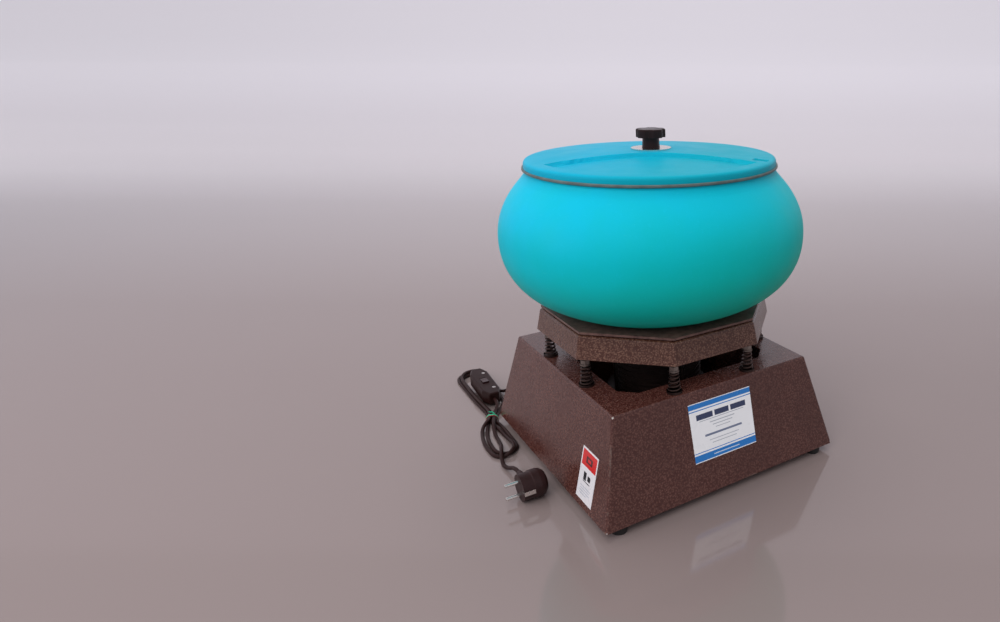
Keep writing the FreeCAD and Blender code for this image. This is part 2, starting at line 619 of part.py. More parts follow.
bowl_o = turned("bowl_shell", [outer, neck, [(161.0, z0 + 178.4), (161.0, D("bowl_rim_z"))], [(161.0, D("bowl_rim_z")), (153.6, D("bowl_rim_z"))],
                               [(153.6, D("bowl_rim_z")), (153.6, z0 + 176.0)], inner, floor_in, column, cap,
                               [(D("column_top_rad") - 1.5, D("column_top_z")), (D("rod_hole_rad"), D("column_top_z"))],
                               [(D("rod_hole_rad"), D("column_top_z")), (D("rod_hole_rad"), D("column_top_z") - w)], hollow])
print("bowl volume %.1f cm3" % (bowl_o.Shape.Volume / 1000.0))
node(bowl_o, "bowl")
zt = D("column_top_z")
node(cut(cyl(13.5, 1.6, 0, 0, zt), cyl(D("rod_rad") + 0.2, 10, 0, 0, zt - 3)), "bowl_washer")
node(cut(fuse([prism(6, 7.4, 6.0, 0, 0, zt + 1.6), cyl(6.2, 7.6, 0, 0, zt + 1.6)]), cyl(D("rod_rad"), 30, 0, 0, zt - 8)), "bowl_nut")

# ================================================================ lid
# Shallow cone-shaped moulded lid, crowned at the rod, with a locating ring inside the bowl's mouth
# and a crescent-shaped recess in front of the knob.
le, lc, lt = D("lid_edge_z"), D("lid_crown_z"), D("lid_thick")
low = D("trim_low_z") + D("trim_thick")
crown = [(27.0, lc), (45.0, lc - 0.8), (70.0, lc - 2.3), (100.0, lc - 4.4), (125.0, lc - 6.3), (145.0, lc - 8.0), (154.0, le - 0.3)]
edge = [(154.0, le - 0.3), (157.2, le - 0.9), (159.6, le - 2.4), (160.8, le - 4.6)]
lid = turned("lid_blank", [[(4.6, lc), (27.0, lc)], crown, edge, [(160.8, le - 4.6), (D("lid_rad"), low + 0.02)],
                           [(D("lid_rad"), low + 0.02), (152.9, low + 0.02)], [(152.9, low + 0.02), (152.9, low - 5.4)],
                           [(152.9, low - 5.4), (149.2, low - 5.4)], [(149.2, low - 5.4), (149.2, low + 1.0)],
                           [(149.2, low + 1.0), (100.0, lc - 4.4 - lt)], [(100.0, lc - 4.4 - lt), (4.6, lc - lt)]])
# The recess lies between a circle near the rim and a long arc in front of the rod. Its floor follows
# the crown, a little lower. A small finger notch sits at one end of the arc.
facing = math.radians(-120.17)
fx, fy = math.cos(facing), math.sin(facing)
drop, arc_r, arc_d = 3.4, 233.0, 36.0
lowered = turned("lid_lowered", [[(0, 380), (180, 380)], [(180, le - 2.0 - drop), (154.0, le - 0.3 - drop)],
                                 [(a, c - drop) for a, c in reversed(crown)], [(27.0, lc - drop), (0, lc - drop)]])
crescent = doc.addObject("Part::MultiCommon", "recess_plan")
crescent.Shapes = [cyl(146.0, 60, 0, 0, 390), cyl(arc_r, 60, fx * (arc_d + arc_r), fy * (arc_d + arc_r), 390)]
recess = cut(crescent, lowered)
notch = box(17, 13, 10, 0, 0, 0)
for prop in ("x", "y", "z"):
    notch.setExpression("Placement.Base." + prop, None)
notch.Placement = Plc(V(89.1, -115.4, 411.0), Rot(V(0, 0, 1), -52.3)).multiply(Plc(V(-8.5, -6.5, 0), Rot()))
node(cut(lid, fuse([recess, notch])), "lid")
node(revolve("trim", [(D("trim_inner_rad"), D("trim_low_z")), (D("trim_rad") - 1.0, D("trim_low_z")),
                      (D("trim_rad"), D("trim_low_z") + 1.0), (D("trim_rad"), low - 0.6), (D("trim_rad") - 0.6, low),
                      (D("trim_inner_rad"), low)]), "lid_edge_trim")

# ================================================================ knob
kz = lc + 0.05
node(cut(cyl(D("washer_rad"), D("washer_thick"), 0, 0, kz), cyl(D("rod_rad") + 0.3, 10, 0, 0, kz - 4)), "lid_washer")
kz = kz + D("washer_thick") + 0.05
hz = kz + D("knob_hub_high")
head = cyl(D("knob_head_rad"), D("knob_head_high"), 0, 0, hz)
scallops = [cyl(6.4, 40, 22.6 * math.cos(math.radians(a)), 22.6 * math.sin(math.radians(a)), hz - 10) for a in (18, 90, 162, 234, 306)]
head = cut(head, fuse(scallops))
doc.recompute()
lobes = doc.addObject("Part::Fillet", "knob_lobes_rounded")
lobes.Base = head
lobes.Edges = [(i + 1, 2.4, 2.4) for i, ed in enumerate(head.Shape.Edges) if abs(mid(ed).z - (hz.v + VAL["knob_head_high"] / 2)) < 0.01
               and len(ed.Vertexes) == 2 and abs(mid(ed).x - ed.Vertexes[0].X) < 1e-6]
doc.recompute()
rounded = doc.addObject("Part::Fillet", "knob_head_rounded")
rounded.Base = lobes
rounded.Edges = [(i + 1, 1.9, 1.9) for i, ed in enumerate(lobes.Shape.Edges) if abs(mid(ed).z - (hz.v + VAL["knob_head_high"])) < 0.01]
doc.recompute()
grip = cut(fuse([rounded, cone(D("knob_hub_rad"), D("knob_hub_rad") - 1.0, D("knob_hub_high") + 1, 0, 0, kz)]),
           cyl(D("insert_rad"), 16.2, 0, 0, kz - 0.2))
node(grip, "knob_grip")
node(cut(cyl(D("insert_rad"), 15.95, 0, 0, kz + 0.02), cyl(D("insert_bore"), 30, 0, 0, kz - 5)), "knob_insert")

# ================================================================ mains lead
# Gland in the rear wall: flange, tapered sleeve outside, lock nut inside.
gx, gz = D("gland_x"), D("gland_z")
back = Rot(V(1, 0, 0), -90)          # local Z becomes +Y
wall_y = 180.0 - (VAL["gland_z"] - 12.0) * math.tan(math.radians(lean))
sleeve = fuse([cyl(6.0, 16, gx, wall_y - 14.0, gz, back), cyl(9.6, 2.4, gx, wall_y + 3.2, gz, back),
               cyl(6.0, 6, gx, wall_y - 1, gz, back), cone(6.6, 3.7, 29.0, gx, wall_y + 5.6, gz, back)])
rings = [cyl(6.0, 1.4, gx, wall_y + 10.0 + 4.6 * i, gz, back) for i in range(4)]
gland = cut(sleeve, cyl(D("cord_rad"), 80, gx, wall_y - 30, gz, back))
node(gland, "strain_relief")
gnut = cut(prism(6, 10.5, 4.0, gx, wall_y - 13.0, gz, back), cyl(6.0, 20, gx, wall_y - 20, gz, back))
node(gnut, "gland_nut")
exit_y = wall_y + 34.6

# Terminal block on the inside of the left flange and the lead from the gland to it.
tb = cut(box(34, 22, 20, -152, 96, D("base_bottom_z") + D("base_sheet")),
         fuse([cyl(2.2, 14, -146.5 + 10.5 * i, 107, D("base_bottom_z") + D("base_sheet") + 8) for i in range(3)]))
node(tb, "terminal_block")
node(group([cyl(2.1, 8, -146.5 + 10.5 * i, 107, D("base_bottom_z") + D("base_sheet") + 8.2) for i in range(3)]), "terminal_screws")


def tube_route(points, rad, start_frac=0.45):
    """Wire of straight runs joined by tangent arcs; returns the wire and the arc radii."""
    P = [V(*p) for p in points]
    edges, radii, last = [], [], P[0]
    for i in range(1, len(P) - 1):
        u = (P[i] - P[i - 1])
        v = (P[i + 1] - P[i])
        la, lb = u.Length, v.Length
        u.normalize()
        v.normalize()
        turn = math.acos(max(-1.0, min(1.0, u.dot(v))))
        t = start_frac * min(la, lb)
        r = t / math.tan(turn / 2.0)
        radii.append(r)
        a = P[i] - u * t
        c = P[i] + v * t
        n = (v - u)
        n.normalize()
        d = r / math.cos(turn / 2.0)
        m = P[i] + n * (d - r)
        edges.append(Part.LineSegment(last, a).toShape())
        edges.append(Part.Arc(a, m, c).toShape())
        last = c
    edges.append(Part.LineSegment(last, P[-1]).toShape())
    return Part.Wire(edges), radii


def cord_tube(name, points):
    wire, radii = tube_route(points, VAL["cord_rad"])
    e0 = wire.Edges[0]
    tang = e0.tangentAt(e0.FirstParameter)
    disc = Part.Wire([Part.makeCircle(VAL["cord_rad"], V(*points[0]), tang)])
    sh = wire.makePipeShell([disc], True, False)
    want = math.pi * VAL["cord_rad"] ** 2 * wire.Length
    print("%s length %.1f volume ratio %.4f radii %s" % (name, wire.Length, sh.Volume / want,
                                                       " ".join("%.0f" % r for r in radii)))
    o = doc.addObject("Part::Feature", name + "_tube")
    o.Shape = sh
    return node(o, name)


X0, Z0 = VAL["gland_x"], VAL["gland_z"]
cord_tube("inner_lead", [(X0, exit_y - 40.0, Z0), (X0, exit_y - 58.0, Z0), (X0 + 1.0, exit_y - 74.0, Z0 - 2.0),
                         (X0 + 0.5, exit_y - 86.0, Z0 - 6.0), (X0, 118.3, Z0 - 6.0)])
cord_tube("cord_lead", [(X0, exit_y, Z0), (X0, exit_y + 15.0, Z0), (X0 - 1.5, exit_y + 30.0, Z0 - 9.0),
                        (X0 - 5.0, exit_y + 45.0, 8.5), (X0 - 12.0, exit_y + 60.0, 3.4)])

# Hank: one closed solid of the outer shape of the bundled loops, cleared around the switch.
UP = [(-184, 193), (-191, 203), (-195, 228), (-196, 254), (-194, 304), (-188, 345), (-177, 367), (-163, 373), (-151, 362), (-146, 330),
      (-144, 294), (-147, 261), (-155, 235), (-166, 209), (-178, 193)]
LOW = [(-184.5, 177), (-183.8, 156), (-183.6, 132), (-184.5, 107), (-190, 84), (-199, 70), (-213, 64), (-222, 69), (-227, 97), (-228, 110),
       (-224, 129), (-212, 156), (-200, 177)]
WAIST = [(-185.0, 175), (-200.5, 175), (-198.5, 185), (-192, 196), (-177, 196), (-182, 186)]


def slab(name, pts, z, high):
    w = Part.makePolygon([V(a, c, z) for a, c in pts] + [V(pts[0][0], pts[0][1], z)])
    o = doc.addObject("Part::Feature", name)
    o.Shape = Part.Face(w).extrude(V(0, 0, high))
    return o


sw = Plc(V(VAL["switch_x"], VAL["switch_y"], VAL["switch_z"]), Rot(V(1, 0, 0), VAL["switch_tilt"]))
clear = doc.addObject("Part::Feature", "switch_room")
q = Part.makeBox(31.0, 95.0, 60.0, V(-15.5, -47.5, -11.6))
q.Placement = sw
clear.Shape = q
hank = cut(fuse([slab("hank_upper", UP, 0.2, 14.0), slab("hank_lower", LOW, 0.2, 9.0), slab("hank_waist", WAIST, 1.0, 9.4)]), clear)
node(hank, "cord_hank")
# tie: a narrow band round the waist
band = doc.addObject("Part::Feature", "tie_band")
bo = Part.makeBox(21.2, 3.6, 11.6, V(-10.6, -1.8, 0.0))
bi = Part.makeBox(19.4, 10.0, 9.9, V(-9.7, -5.0, 0.85))
ring = bo.cut(bi)
ring.Placement = Plc(V(-191.0, 184.0, 0.05), Rot(V(0, 0, 1), 20.0))
band.Shape = ring
node(band, "twist_tie")
cord_tube("cord_tail", [(-219.0, 67.0, 2.9), (-221.5, 48.0, 2.9), (-219.0, 31.0, 6.5), (-216.0, 16.0, 14.0), (-216.0, 1.0, 14.0)])

# In-line switch: two half shells, rocker on stub axles, two screws.
half_l, half_w, half_h = 46.0, 14.5, 11.0
out = [(-half_w, -30), (-half_w, 30), (-8.0, half_l), (8.0, half_l), (half_w, 30), (half_w, -30), (8.0, -half_l), (-8.0, -half_l)]


def shell_half(name, upper):
    w = Part.makePolygon([V(a, c, 0) for a, c in out] + [V(out[0][0], out[0][1], 0)])
    s = Part.Face(w).extrude(V(0, 0, half_h if upper else -half_h))
    edge = [e for e in s.Edges if abs(mid(e).z - (half_h if upper else -half_h)) < 1e-6 or abs(mid(e).z) > 1.0 and
            abs(e.tangentAt(e.FirstParameter).z) > 0.9]
    s = s.makeFillet(3.2, edge)
    s = s.cut(Part.makeCylinder(VAL["cord_rad"], 120, V(0, -60, 0), V(0, 1, 0)))
    for y in (-26.0, 26.0):
        if upper:
            s = s.cut(Part.makeCylinder(3.2, 3.0, V(6.5, y, half_h - 2.6)))
            s = s.cut(Part.makeCylinder(1.6, 20, V(6.5, y, -1)))
        else:
            s = s.cut(Part.makeCylinder(1.3, 8.2, V(6.5, y, -8)))
    if upper:
        s = s.cut(Part.makeBox(10.6, 19.0, 20, V(-5.3, -9.5, 0.0 - 0.01)))
        s = s.cut(Part.makeCylinder(1.6, 15.0, V(-7.5, 0, 8.4), V(1, 0, 0)))
    s.Placement = sw
    o = doc.addObject("Part::Feature", name + "_shell")
    o.Shape = s
    return node(o, name)


shell_half("switch_top_shell", True)
shell_half("switch_bottom_shell", False)
# rocker in its off position: one end stands proud, the other is level
prof = [(-8.0, 9.6), (-8.0, 13.0), (0.0, 11.9), (7.8, 11.2), (8.0, 7.8), (3.5, 3.0), (-3.0, 3.0)]
w = Part.makePolygon([V(0, a, c) for a, c in prof] + [V(0, prof[0][0], prof[0][1])])
rk = Part.Face(w).extrude(V(9.8, 0, 0))
rk.translate(V(-4.9, 0, 0))
rk = rk.fuse(Part.makeCylinder(1.55, 14.2, V(-7.1, 0, 8.4), V(1, 0, 0))).removeSplitter()
rk.Placement = sw
o = doc.addObject("Part::Feature", "switch_rocker_shape")
o.Shape = rk
node(o, "switch_rocker")
sc = []
for y in (-26.0, 26.0):
    a = Part.makeCylinder(1.25, 16.0, V(6.5, y, -7.0)).fuse(Part.makeCylinder(2.9, 2.0, V(6.5, y, half_h - 2.5)))
    a = a.cut(Part.makeBox(6, 0.7, 1.0, V(3.5, y - 0.35, half_h - 1.2)))
    a.Placement = sw
    sc.append(a)
o = doc.addObject("Part::Feature", "switch_screws_shape")
o.Shape = Part.makeCompound(sc)
node(o, "switch_screws")

# Angled earthed plug lying on its side: pins towards -X, lead entry towards +Y.
px, py, pz, pr = VAL["plug_x"], VAL["plug_y"], VAL["plug_z"], VAL["plug_rad"]
prof = [(0, 0), (17.8, 0), (17.8, 14.0), (18.9, 15.5), (18.9, 24.0), (17.4, 29.0), (13.0, 33.2), (6.5, 35.2), (0, 35.4)]
w = Part.makePolygon([V(a, 0, c) for a, c in prof] + [V(0, 0, 0)])
pb = Part.Face(w).revolve(V(0, 0, 0), V(0, 0, 1), 360)
turn = Plc(V(px, py, pz), Rot(V(0, 1, 0), 90))      # local Z to +X, local X to -Z
for s in (-1, 1):
    pb = pb.cut(Part.makeBox(7.0, 2.4, 20.0 if s < 0 else 7.6, V(-3.5, s * 17.0 - 1.2, -1)))
pb = pb.cut(Part.makeCylinder(2.4, 16, V(0, -10.0, -1)))
pb.Placement = turn
boot = Part.makeCone(8.4, 6.8, 16, V(px + 15.0, py + 12.0, 14.0), V(0, 1, 0)).fuse(
    Part.makeCone(6.4, 3.6, 15.4, V(px + 15.0, py + 27.6, 14.0), V(0, 1, 0)))
boot = boot.cut(Part.makeCylinder(VAL["cord_rad"], 9, V(-216.0, -8.0, 14.0), V(0, 1, 0)))
pb = pb.fuse(boot).removeSplitter()
pins = []
for s in (-1, 1):
    pin = Part.makeCylinder(2.4, 19.0, V(px - 19.0, py, pz + 9.5 * s), V(1, 0, 0))
    ends = [e for e in pin.Edges if abs(mid(e).x - (px - 19.0)) < 1e-6]
    pin = pin.makeFillet(1.5, ends)
    pin = pin.fuse(Part.makeCylinder(1.9, 3.0, V(px, py, pz + 9.5 * s), V(1, 0, 0)))
    pins.append(pin)
    pb = pb.cut(Part.makeCylinder(1.9, 3.0, V(px, py, pz + 9.5 * s), V(1, 0, 0)))
o = doc.addObject("Part::Feature", "plug_body_shape")
o.Shape = pb
node(o, "plug_body")
o = doc.addObject("Part::Feature", "plug_pins_shape")
o.Shape = Part.makeCompound(pins)
node(o, "plug_pins")
clips = []
for s in (-1, 1):
    k = Part.makeBox(18.6 if s < 0 else 6.2, 1.0, 6.0, V(px + 0.2, py + s * 17.35 - 0.5, pz - 3.0))
    clips.append(k)
clips.append(Part.makeCylinder(2.35, 12, V(px + 0.1, py - 10.0, pz), V(1, 0, 0)).cut(
    Part.makeCylinder(1.7, 14, V(px - 1, py - 10.0, pz), V(1, 0, 0))))
o = doc.addObject("Part::Feature", "earth_contacts_shape")
o.Shape = Part.makeCompound(clips)
node(o, "earth_contacts")

# ================================================================ check and export
doc.recompute()
bad = []
for ob in doc.Objects:
    if "Invalid" in ob.State or "Error" in ob.State:
        bad.append("%s state %s" % (ob.Name, ob.State))
for name, ob in NODES:
    if ob.Shape.isNull() or not ob.Shape.isValid() or not ob.Shape.Solids:
        bad.append("%s shape null=%s" % (name, ob.Shape.isNull()))
if bad:
    raise RuntimeError("; ".join(bad))
os.makedirs("parts", exist_ok=True)
for name, ob in NODES:
    ob.Shape.exportStep("parts/%s.step" % name)
    bb = ob.Shape.BoundBox
    print("%-24s solids %2d vol %9.1f cm3 z %.2f..%.2f" % (name, len(ob.Shape.Solids), ob.Shape.Volume / 1000.0, bb.ZMin, bb.ZMax))
print("nodes", len(NODES))
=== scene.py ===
import math

import bpy
import bmesh
from mathutils import Matrix, Vector


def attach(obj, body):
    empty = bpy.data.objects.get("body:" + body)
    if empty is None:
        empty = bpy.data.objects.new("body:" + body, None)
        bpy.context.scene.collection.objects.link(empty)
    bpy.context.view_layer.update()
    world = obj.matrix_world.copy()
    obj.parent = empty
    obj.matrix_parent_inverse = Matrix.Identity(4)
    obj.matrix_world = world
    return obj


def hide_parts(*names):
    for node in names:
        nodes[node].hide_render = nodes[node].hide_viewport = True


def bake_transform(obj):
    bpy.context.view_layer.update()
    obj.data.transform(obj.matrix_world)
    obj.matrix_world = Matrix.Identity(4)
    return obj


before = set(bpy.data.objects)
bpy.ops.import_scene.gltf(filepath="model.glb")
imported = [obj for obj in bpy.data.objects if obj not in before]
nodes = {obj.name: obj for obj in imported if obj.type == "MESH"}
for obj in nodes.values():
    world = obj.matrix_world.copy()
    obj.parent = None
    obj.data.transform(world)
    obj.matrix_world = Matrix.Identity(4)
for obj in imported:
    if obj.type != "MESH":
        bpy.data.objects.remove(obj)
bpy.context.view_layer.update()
scene = bpy.context.scene
scene.view_settings.view_transform = "Standard"
scene.view_settings.look = "None"


# ------------------------------------------------------------------ camera
def make_camera():
    yaw, pitch, roll = 0.622452642, 0.36105263, 0.004215188
    f = Vector((math.sin(yaw) * math.cos(pitch), math.cos(yaw) * math.cos(pitch), -math.sin(pitch)))
    r = Vector((math.cos(yaw), -math.sin(yaw), 0.0))
    u = r.cross(f)
    r2 = math.cos(roll) * r + math.sin(roll) * u
    u2 = -math.sin(roll) * r + math.cos(roll) * u
    data = bpy.data.cameras.new("camera")
    data.sensor_fit = "HORIZONTAL"
    data.sensor_width = 36.0
    data.lens = 25.368
    data.shift_x = -0.21935
    data.shift_y = 0.00406
    data.clip_end = 60.0
    cam = bpy.data.objects.new("camera", data)
    scene.collection.objects.link(cam)
    m = Matrix.Identity(4)
    for i in range(3):
        m[i][0], m[i][1], m[i][2] = r2[i], u2[i], -f[i]
    m[0][3], m[1][3], m[2][3] = -0.46779464, -0.80466942, 0.54155293
    cam.matrix_world = m
    scene.camera = cam


make_camera()

# ------------------------------------------------------------------ cord
# From the base's strain relief, down to the table, five passes through the tie with the switch on the fourth
# upper loop, then on to the plug.
ROUTE = [
    (-0.138, 0.210311, 0.03), (-0.138, 0.225311, 0.03), (-0.1395, 0.240311, 0.021), (-0.143, 0.255311, 0.0085),
    (-0.1486, 0.272, 0.0034), (-0.1492, 0.292, 0.0029), (-0.1488, 0.316, 0.0029), (-0.149, 0.338, 0.0029),
    (-0.1502, 0.3545, 0.0029), (-0.1583, 0.3656, 0.0029), (-0.1715, 0.3694, 0.0029), (-0.1846, 0.3654, 0.0029),
    (-0.1924, 0.3545, 0.0029), (-0.1935, 0.34, 0.0029), (-0.1936, 0.322, 0.0029), (-0.1936, 0.306, 0.0029),
    (-0.1938, 0.28, 0.0029), (-0.1936, 0.254, 0.0029), (-0.1926, 0.23, 0.0029), (-0.1914, 0.21, 0.0029),
    (-0.19284, 0.1953, 0.0029), (-0.19968, 0.1765, 0.0029), (-0.2075, 0.157, 0.0029), (-0.2135, 0.139, 0.0029),
    (-0.2174, 0.12, 0.0029), (-0.2186, 0.101, 0.0029), (-0.2184, 0.088, 0.0029), (-0.2122, 0.0772, 0.0029),
    (-0.2026, 0.0738, 0.0029), (-0.1928, 0.0774, 0.0029), (-0.187, 0.087, 0.0029), (-0.1863, 0.102, 0.0029),
    (-0.1863, 0.122, 0.0029), (-0.186, 0.144, 0.0029), (-0.1862, 0.16, 0.0029), (-0.18916, 0.1735, 0.0029),
    (-0.18232, 0.1915, 0.0029), (-0.1735, 0.205, 0.0029), (-0.162, 0.219, 0.0029), (-0.1543, 0.236, 0.0029),
    (-0.1534, 0.256, 0.0029), (-0.1546, 0.276, 0.0029), (-0.1549, 0.298, 0.0029), (-0.1546, 0.32, 0.0029),
    (-0.1548, 0.338, 0.0029), (-0.1556, 0.3515, 0.0029), (-0.1616, 0.36, 0.0029), (-0.1712, 0.363, 0.0029),
    (-0.1808, 0.36, 0.0029), (-0.1868, 0.3515, 0.0029), (-0.1874, 0.338, 0.0029), (-0.1876, 0.318, 0.0029),
    (-0.188, 0.296, 0.0029), (-0.1881, 0.272, 0.0029), (-0.1876, 0.248, 0.0029), (-0.1863, 0.226, 0.0029),
    (-0.1852, 0.208, 0.0029), (-0.18758, 0.1934, 0.0029), (-0.19442, 0.1746, 0.0029), (-0.1946, 0.16, 0.0029),
    (-0.1924, 0.142, 0.0029), (-0.1918, 0.122, 0.0029), (-0.1918, 0.105, 0.005), (-0.1922, 0.092, 0.0088),
    (-0.1934, 0.08, 0.009), (-0.1995, 0.0705, 0.0087), (-0.2095, 0.067, 0.0042), (-0.2186, 0.0705, 0.0029),
    (-0.2244, 0.079, 0.0029), (-0.2253, 0.093, 0.0029), (-0.2253, 0.109, 0.0029), (-0.2234, 0.127, 0.0029),
    (-0.2195, 0.144, 0.0029), (-0.2143, 0.159, 0.0048), (-0.205, 0.1685, 0.009), (-0.19705, 0.1766, 0.0082),
    (-0.1902, 0.1944, 0.008), (-0.1886, 0.21, 0.0079), (-0.1894, 0.23, 0.0078), (-0.1906, 0.254, 0.0078),
    (-0.1909, 0.28, 0.0078), (-0.1906, 0.304, 0.0078), (-0.1904, 0.328, 0.0078), (-0.1882, 0.348, 0.0082),
    (-0.18, 0.362, 0.0086), (-0.167, 0.366, 0.0088), (-0.1555, 0.3615, 0.0092), (-0.1498, 0.3505, 0.0105),
    (-0.152, 0.3385, 0.0135), (-0.1598, 0.3306, 0.0176), (-0.1682, 0.3265, 0.0208), (-0.171, 0.314, 0.0216),
    (-0.171, 0.29, 0.0195), (-0.171, 0.256, 0.0165), (-0.171, 0.232, 0.0144), (-0.171, 0.22, 0.0134),
    (-0.173, 0.209, 0.0114), (-0.1785, 0.2005, 0.0088), (-0.18495, 0.1924, 0.008), (-0.1914, 0.1746, 0.0082),
    (-0.1965, 0.16, 0.0088), (-0.201, 0.146, 0.006), (-0.2035, 0.13, 0.0029), (-0.205, 0.111, 0.0029),
    (-0.2075, 0.096, 0.0052), (-0.2115, 0.083, 0.0089), (-0.2165, 0.069, 0.0089), (-0.2205, 0.056, 0.006),
    (-0.222, 0.044, 0.0032), (-0.2195, 0.031, 0.006), (-0.216, 0.017, 0.0136), (-0.216, 0.001, 0.014),
]


def make_cord():
    data = bpy.data.curves.new("mains_cord", "CURVE")
    data.dimensions = "3D"
    s = data.splines.new("NURBS")
    s.points.add(len(ROUTE) - 1)
    for p, co in zip(s.points, ROUTE):
        p.co = (co[0], co[1], co[2], 1.0)
        p.radius = 0.0027
    s.order_u = 3
    s.use_endpoint_u = True
    s.use_smooth = True
    data.resolution_u = 7
    data.bevel_depth = 1.0
    data.bevel_resolution = 4
    data.use_fill_caps = True
    o = bpy.data.objects.new("mains_cord", data)
    scene.collection.objects.link(o)
    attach(o, "base")
    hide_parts("cord_lead", "cord_hank", "cord_tail")
    return o


cord = make_cord()


# ------------------------------------------------------------------ node helpers
class Mat:
    """A principled material and short calls for wiring procedural detail into it."""

    def __init__(self, name, colour=(0.5, 0.5, 0.5), rough=0.5, metallic=0.0, **more):
        self.m = bpy.data.materials.new(name)
        self.m.use_nodes = True
        self.t = self.m.node_tree
        self.b = self.t.nodes["Principled BSDF"]
        self.set("Base Color", (*colour, 1.0))
        self.set("Roughness", rough)
        self.set("Metallic", metallic)
        for k, v in more.items():
            self.set(k.replace("_", " "), v)
        self.co = None

    def set(self, socket, value):
        self.b.inputs[socket].default_value = value

    def n(self, kind, **props):
        node = self.t.nodes.new(kind)
        for k, v in props.items():
            setattr(node, k, v)
        return node

    def link(self, a, b):
        self.t.links.new(a, b)
        return a

    def coords(self):
        if self.co is None:
            self.co = self.n("ShaderNodeTexCoord").outputs["Object"]
        return self.co

    def mapped(self, scale=(1, 1, 1), rot=(0, 0, 0)):
        mp = self.n("ShaderNodeMapping")
        mp.inputs["Scale"].default_value = scale
        mp.inputs["Rotation"].default_value = rot
        self.link(self.coords(), mp.inputs["Vector"])
        return mp.outputs["Vector"]

    def xyz(self):
        sp = self.n("ShaderNodeSeparateXYZ")
        self.link(self.coords(), sp.inputs[0])
        return sp.outputs[0], sp.outputs[1], sp.outputs[2]

    def noise(self, scale, detail=3.0, rough=0.5, vec=None, distortion=0.0):
        t = self.n("ShaderNodeTexNoise")
        t.inputs["Scale"].default_value = scale
        t.inputs["Detail"].default_value = detail
        t.inputs["Roughness"].default_value = rough
        t.inputs["Distortion"].default_value = distortion
        self.link(vec if vec is not None else self.coords(), t.inputs["Vector"])
        return t.outputs["Fac"]

    def voronoi(self, scale, feature="F1", vec=None, smooth=0.6, randomness=1.0):
        t = self.n("ShaderNodeTexVoronoi", feature=feature)
        t.inputs["Scale"].default_value = scale
        t.inputs["Randomness"].default_value = randomness
        if feature == "SMOOTH_F1":
            t.inputs["Smoothness"].default_value = smooth
        self.link(vec if vec is not None else self.coords(), t.inputs["Vector"])
        return t

    def ramp(self, fac, stops, interp="LINEAR"):
        r = self.n("ShaderNodeValToRGB")
        r.color_ramp.interpolation = interp
        e = r.color_ramp.elements
        while len(e) < len(stops):
            e.new(0.5)
        for el, (pos, col) in zip(e, stops):
            el.position = pos
            el.color = (*col, 1.0) if len(col) == 3 else col
        self.link(fac, r.inputs[0])
        return r.outputs[0]

    def math(self, op, a, b=None, c=None, clamp=False):
        m = self.n("ShaderNodeMath", operation=op, use_clamp=clamp)
        for i, v in enumerate((a, b, c)):
            if v is None:
                continue
            if isinstance(v, (int, float)):
                m.inputs[i].default_value = v
            else:
                self.link(v, m.inputs[i])
        return m.outputs[0]

    def map(self, v, a, b, c, d):
        m = self.n("ShaderNodeMapRange")
        self.link(v, m.inputs["Value"])
        for k, x in zip(("From Min", "From Max", "To Min", "To Max"), (a, b, c, d)):
            m.inputs[k].default_value = x
        return m.outputs["Result"]

    def mix(self, fac, a, b, blend="MIX"):
        m = self.n("ShaderNodeMix", data_type="RGBA", blend_type=blend)
        for sock, v in ((m.inputs[0], fac), (m.inputs[6], a), (m.inputs[7], b)):
            if isinstance(v, (int, float)):
                sock.default_value = v
            elif isinstance(v, tuple):
                sock.default_value = (*v, 1.0) if len(v) == 3 else v
            else:
                self.link(v, sock)
        return m.outputs[2]

    def colour(self, out):
        self.link(out, self.b.inputs["Base Color"])

    def roughness(self, out):
        self.link(out, self.b.inputs["Roughness"])

    def bump(self, height, strength=0.3, distance=0.001, normal=None, coat=False):
        b = self.n("ShaderNodeBump")
        b.inputs["Strength"].default_value = strength
        b.inputs["Distance"].default_value = distance
        self.link(height, b.inputs["Height"])
        if normal is not None:
            self.link(normal, b.inputs["Normal"])
        self.link(b.outputs[0], self.b.inputs["Normal"])
        if coat:
            self.link(b.outputs[0], self.b.inputs["Coat Normal"])
        return b.outputs[0]


MATS = {}


def put(node, mat):
    o = nodes[node] if isinstance(node, str) else node
    o.data.materials.clear()
    o.data.materials.append(mat.m)


